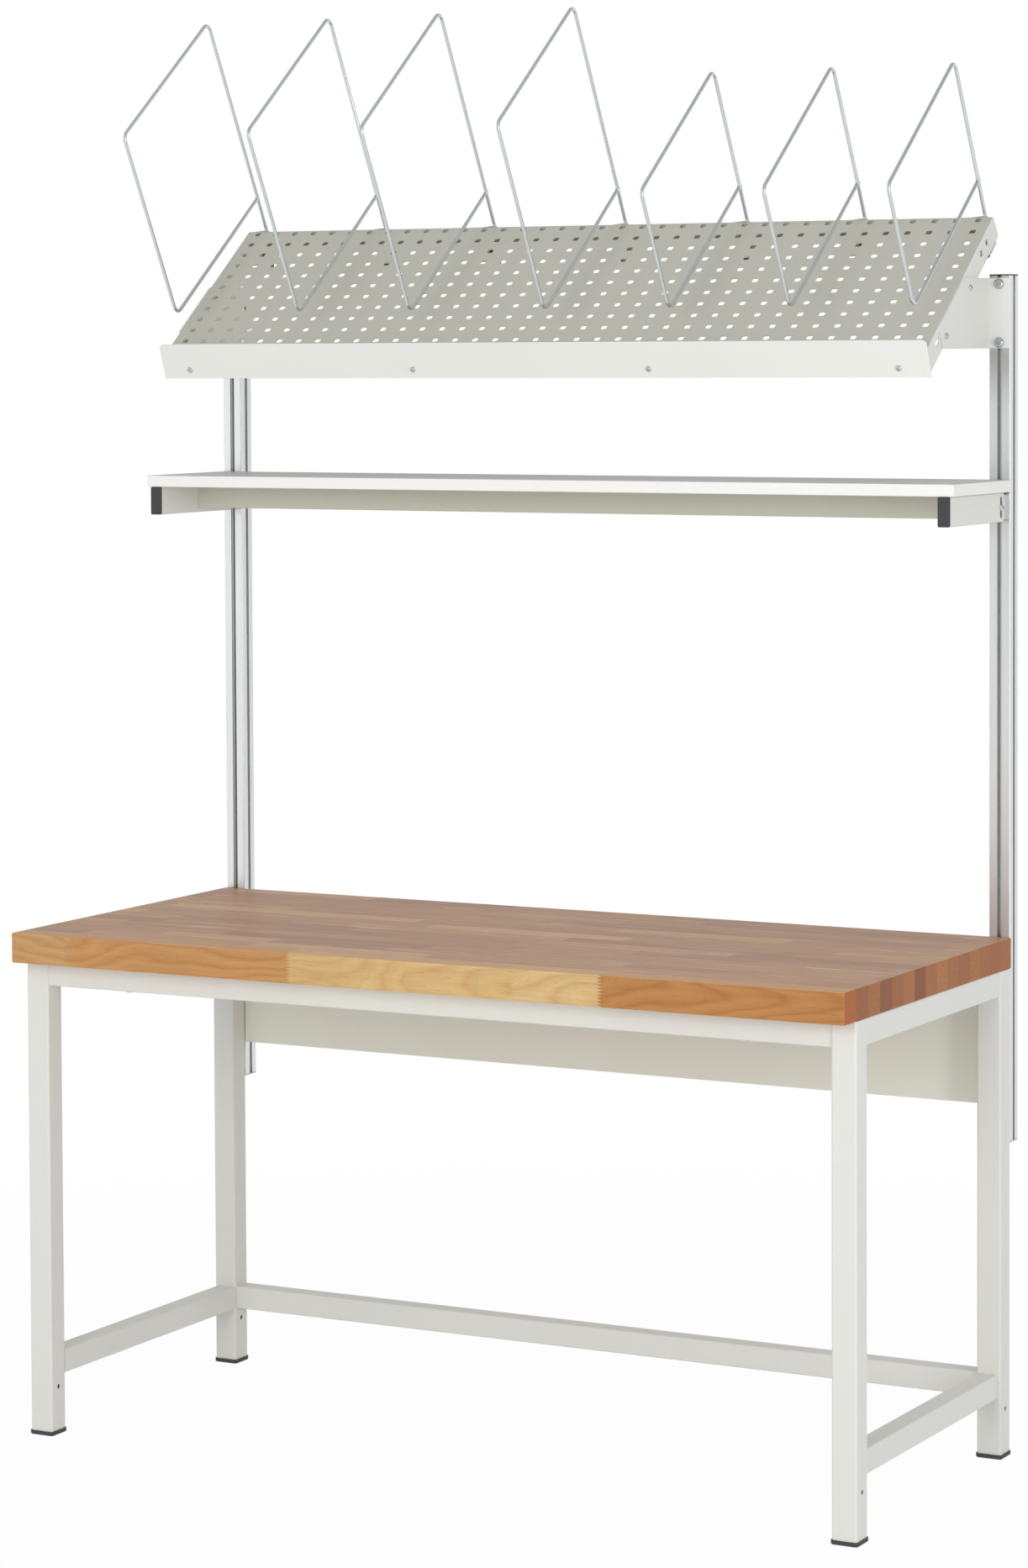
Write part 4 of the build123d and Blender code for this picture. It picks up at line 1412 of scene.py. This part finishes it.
    def build_lip_screws(self) -> None:
        """Put detailed screws in a row along the lip, square to its leaning face."""
        out = Vector((0, -math.cos(self.lean), -math.sin(self.lean)))
        down = Vector((0, math.sin(self.lean), -math.cos(self.lean)))
        base = Vector((0, self.edge_y, self.height)) + out * self.lip_sheet + down * self.lip_screw_drop
        middle = (self.lip_screw_count - 1) / 2
        seats = [Seat(base + Vector(((column - middle) * self.lip_screw_pitch, 0, 0)), out)
                 for column in range(self.lip_screw_count)]
        self.screws("lip_screws", self.lip_screw, seats, "lip_screws_detailed")

    def build_bracket_screws(self) -> None:
        """Put detailed screws and nuts through the brackets and the tray's side flanges."""
        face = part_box("right_tray_bracket")[0].x + self.bracket_sheet
        spots = [self.on_tray(0, reach, -self.bracket_screw_drop) for reach in self.bracket_screw_reaches]
        seats = [Seat(Vector((side * face, spot.y, spot.z)), Vector((side, 0, 0)))
                 for side in SIDES for spot in spots]
        self.screws("bracket_screws", self.bracket_screw, seats, "bracket_screws_detailed")


@dataclass
class Divider(Assembly):
    """One wire divider with its clamp and knob."""

    number: int = 1
    tray: Magazine | None = None
    plate_front: float = 0.3623
    plate_back: float = 0.3654
    plate_top: float = -0.0042
    hook_front: float = 0.35
    hook_rise: tuple[float, float] = (-0.0001, 0.0021)
    knob_reach: float = 0.35
    knob_drop: float = 0.0343
    knob_steps: int = 48
    pad: tuple[tuple[float, float], ...] = ((0.0, 0.0), (0.0045, 0.0), (0.005, 0.0005), (0.005, 0.002))
    screw_radius: float = 0.003
    screw_groove: float = 0.0026
    screw_ends: tuple[float, float] = (0.002, 0.0257)
    thread_ends: tuple[float, float] = (0.0025, 0.0245)
    thread_pitch: float = 0.001
    handle: tuple[tuple[float, float], ...] = (
        (0.007, 0.0257), (0.0094, 0.0264), (0.01, 0.0274), (0.01, 0.0357), (0.0094, 0.0372),
        (0.007, 0.0377), (0.0, 0.0373),
    )
    lobes: int = 8
    lobe_from: float = 0.0065
    lobe_depth: float = 0.05

    def __post_init__(self) -> None:
        """Name the divider's body."""
        self.body = f"divider_{self.number}_body"

    def build_wire(self) -> None:
        """Put a copy of the wire in its node's place, its clamp plate flush under the tray's edge."""
        node = f"divider_{self.number}"
        mesh = bmesh.new()
        mesh.from_mesh(self.frame["nodes"][node].data)
        bmesh.ops.remove_doubles(mesh, verts=mesh.verts, dist=MERGE)
        place = self.tray.local()
        back = place.inverted()
        lowest, highest = self.hook_rise
        for vert in mesh.verts:
            spot = back @ vert.co
            if self.hook_front < spot.y < self.plate_back and lowest < spot.z < highest:
                vert.co = place @ Vector((spot.x, max(spot.y, self.plate_front), self.plate_top))
        bmesh.ops.dissolve_degenerate(mesh, dist=NEAR, edges=mesh.edges)
        finish = ClampedWire("clamped_zinc_wire", WIRE_ZINC, FRAME_PAINT.colour, self.tray.tilt,
                             (self.tray.edge_y, self.tray.height))
        piece_from(f"{node}_wire", mesh, self.body, finish, [node])

    def build(self) -> None:
        """Add the wire, and the knob on its clamp screw."""
        self.build_wire()
        self.build_knob()

    def knob_outline(self) -> list[tuple[float, float]]:
        """Draw the outline over the screw's pad, along its thread and round the handle.

        Returns:
            The radius and height of its points.
        """
        start, end = self.screw_ends
        points = [*self.pad, (self.screw_radius, start)]
        height, last = self.thread_ends
        while height < last:
            points += [(self.screw_radius, height), (self.screw_groove, height + self.thread_pitch / 2)]
            height += self.thread_pitch
        return [*points, (self.screw_radius, end), *self.handle]

    def build_knob(self) -> None:
        """Spin the knob and its screw, and flute the handle."""
        node = f"divider_{self.number}_knob"
        low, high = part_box(node)
        tip = self.tray.on_tray((low.x + high.x) / 2, self.knob_reach, -self.knob_drop)
        out = self.tray.on_tray(0, 0, -1) - self.tray.on_tray(0, 0, 0)
        mesh = bmesh.new()
        spun(mesh, self.knob_outline(), self.knob_steps)
        for vert in mesh.verts:
            if vert.co.xy.length > self.lobe_from:
                turn = math.cos(self.lobes * math.atan2(vert.co.y, vert.co.x))
                vert.co.xy *= 1.0 - self.lobe_depth * (1.0 - turn)
        seat = Seat(tip, out.normalized())
        bmesh.ops.transform(mesh, matrix=seat.matrix(), verts=mesh.verts)
        piece_from(f"divider_{self.number}_grip", mesh, self.body, BLACK_PLASTIC, [node])


@dataclass(frozen=True)
class Lamp:
    """A soft light aimed at the table."""

    name: str
    place: tuple[float, float, float]
    size: tuple[float, float]
    watts: float
    mirrored: bool = True
    aim: tuple[float, float, float] = (0.0, 0.0, 1.1)

    def build(self) -> None:
        """Add the light, which metal mirrors only where it is mirrored."""
        data = bpy.data.lights.new(self.name, "AREA")
        data.shape = "RECTANGLE"
        data.size, data.size_y = self.size
        data.energy = self.watts
        light = linked(self.name, data)
        light.location = self.place
        ahead = Vector(self.aim) - light.location
        light.rotation_euler = ahead.to_track_quat("-Z", "Y").to_euler()
        light.visible_glossy = self.mirrored


@dataclass
class Studio:
    """The pale floor, the soft lights and the camera of the photograph."""

    ambient: float = 0.6
    floor_size: float = 16.0
    floor_drop: float = 0.0002
    lamps: tuple[Lamp, ...] = (
        Lamp("key_light", (0.4, -6.6, 2.6), (3.0, 3.0), 140.0, mirrored=False),
        Lamp("fill_light", (4.6, -1.9, 1.6), (0.7, 2.6), 50.0),
        Lamp("top_light", (0.2, -0.6, 4.4), (3.0, 3.0), 8.0),
    )
    camera_place: tuple[float, float, float] = (3.35296, -6.37992, 1.82259)
    yaw: float = math.radians(28.9606)
    pitch: float = math.radians(-2.6759)
    roll: float = math.radians(-0.3259)
    lens: float = 100.66
    sensor: float = 36.0
    shift: tuple[float, float] = (0.0598, -0.15)

    def build(self) -> None:
        """Build floor, world, lamps and camera."""
        self.build_floor()
        self.build_world()
        for lamp in self.lamps:
            lamp.build()
        self.build_camera()
        bpy.context.scene.view_settings.view_transform = "Standard"

    def build_floor(self) -> None:
        """Build a floor that keeps the shadow and is pale to the camera."""
        mesh = bmesh.new()
        bmesh.ops.create_grid(mesh, x_segments=2, y_segments=2, size=self.floor_size / 2)
        floor = object_from("floor", mesh)
        floor.location.z = -self.floor_drop
        material = bpy.data.materials.new("floor_paint")
        material.use_nodes = True
        graph = Graph(material.node_tree)
        camera_ray, glossy_ray = graph.rays()
        matt = graph.node("ShaderNodeBsdfDiffuse", sockets={"Color": (0.86, 0.86, 0.86, 1.0)})
        glow = graph.node("ShaderNodeEmission", sockets={"Color": WHITE, "Strength": 1.0})
        x, y, _ = graph.parts(graph.place())
        far = (x * x + y * y).root().ease(1.0, 3.2)
        seen = camera_ray.largest(glossy_ray) * (0.96 + 0.04 * far)
        both = graph.node("ShaderNodeMixShader", sockets={0: seen, 1: matt, 2: glow})
        graph.node("ShaderNodeOutputMaterial", sockets={"Surface": both})
        floor.data.materials.append(material)

    def build_world(self) -> None:
        """Build a world that is white to the camera and softer as light."""
        world = bpy.data.worlds.new("studio")
        bpy.context.scene.world = world
        world.use_nodes = True
        graph = Graph(world.node_tree)
        camera_ray, glossy_ray = graph.rays()
        ahead = graph.node("ShaderNodeTexCoord", output="Generated")
        right, rear, up = graph.parts(ahead)
        bands = graph.noise(graph.stretched(ahead, (2.5, 2.5, 14.0)), 1.0, 2.0).ease(0.35, 0.65)
        left_wall = (0.0 - right).ease(0.44, 0.54) * (0.0 - rear).ease(0.5, 0.7)
        walls = 0.75 * left_wall + 0.5 * right.ease(0.2, 0.3) * rear.ease(0.87, 0.92)
        sheen = 0.64 + 0.34 * bands + walls - 0.4 * up.ease(0.15, 0.9)
        light = glossy_ray * sheen + (1.0 - glossy_ray) * self.ambient
        strength = camera_ray + (1.0 - camera_ray) * light
        back = graph.node("ShaderNodeBackground", sockets={"Color": WHITE, "Strength": strength})
        graph.node("ShaderNodeOutputWorld", sockets={"Surface": back})

    def build_camera(self) -> None:
        """Build the camera that was fitted to the photograph."""
        ahead = Vector((-math.sin(self.yaw), math.cos(self.yaw), 0.0))
        right = Vector((math.cos(self.yaw), math.sin(self.yaw), 0.0))
        look = ahead * math.cos(self.pitch) + UP * math.sin(self.pitch)
        top = UP * math.cos(self.pitch) - ahead * math.sin(self.pitch)
        side = right * math.cos(self.roll) + top * math.sin(self.roll)
        head = top * math.cos(self.roll) - right * math.sin(self.roll)
        data = bpy.data.cameras.new("camera")
        data.lens = self.lens
        data.sensor_width = self.sensor
        data.shift_x, data.shift_y = self.shift
        camera = linked("camera", data)
        turn = Matrix((side, head, -look)).transposed().to_4x4()
        camera.matrix_world = Matrix.Translation(self.camera_place) @ turn
        bpy.context.scene.camera = camera


def main() -> None:
    """Load the frame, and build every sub-assembly and the studio."""
    logging.basicConfig(level=logging.INFO, format="%(name)s: %(message)s")
    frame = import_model()
    Studio().build()
    Bench(frame).build()
    Shelf(frame).build()
    magazine = Magazine(frame)
    magazine.build()
    for number in range(1, 8):
        Divider(frame, number=number, tray=magazine).build()


if __name__ == "__main__":
    main()
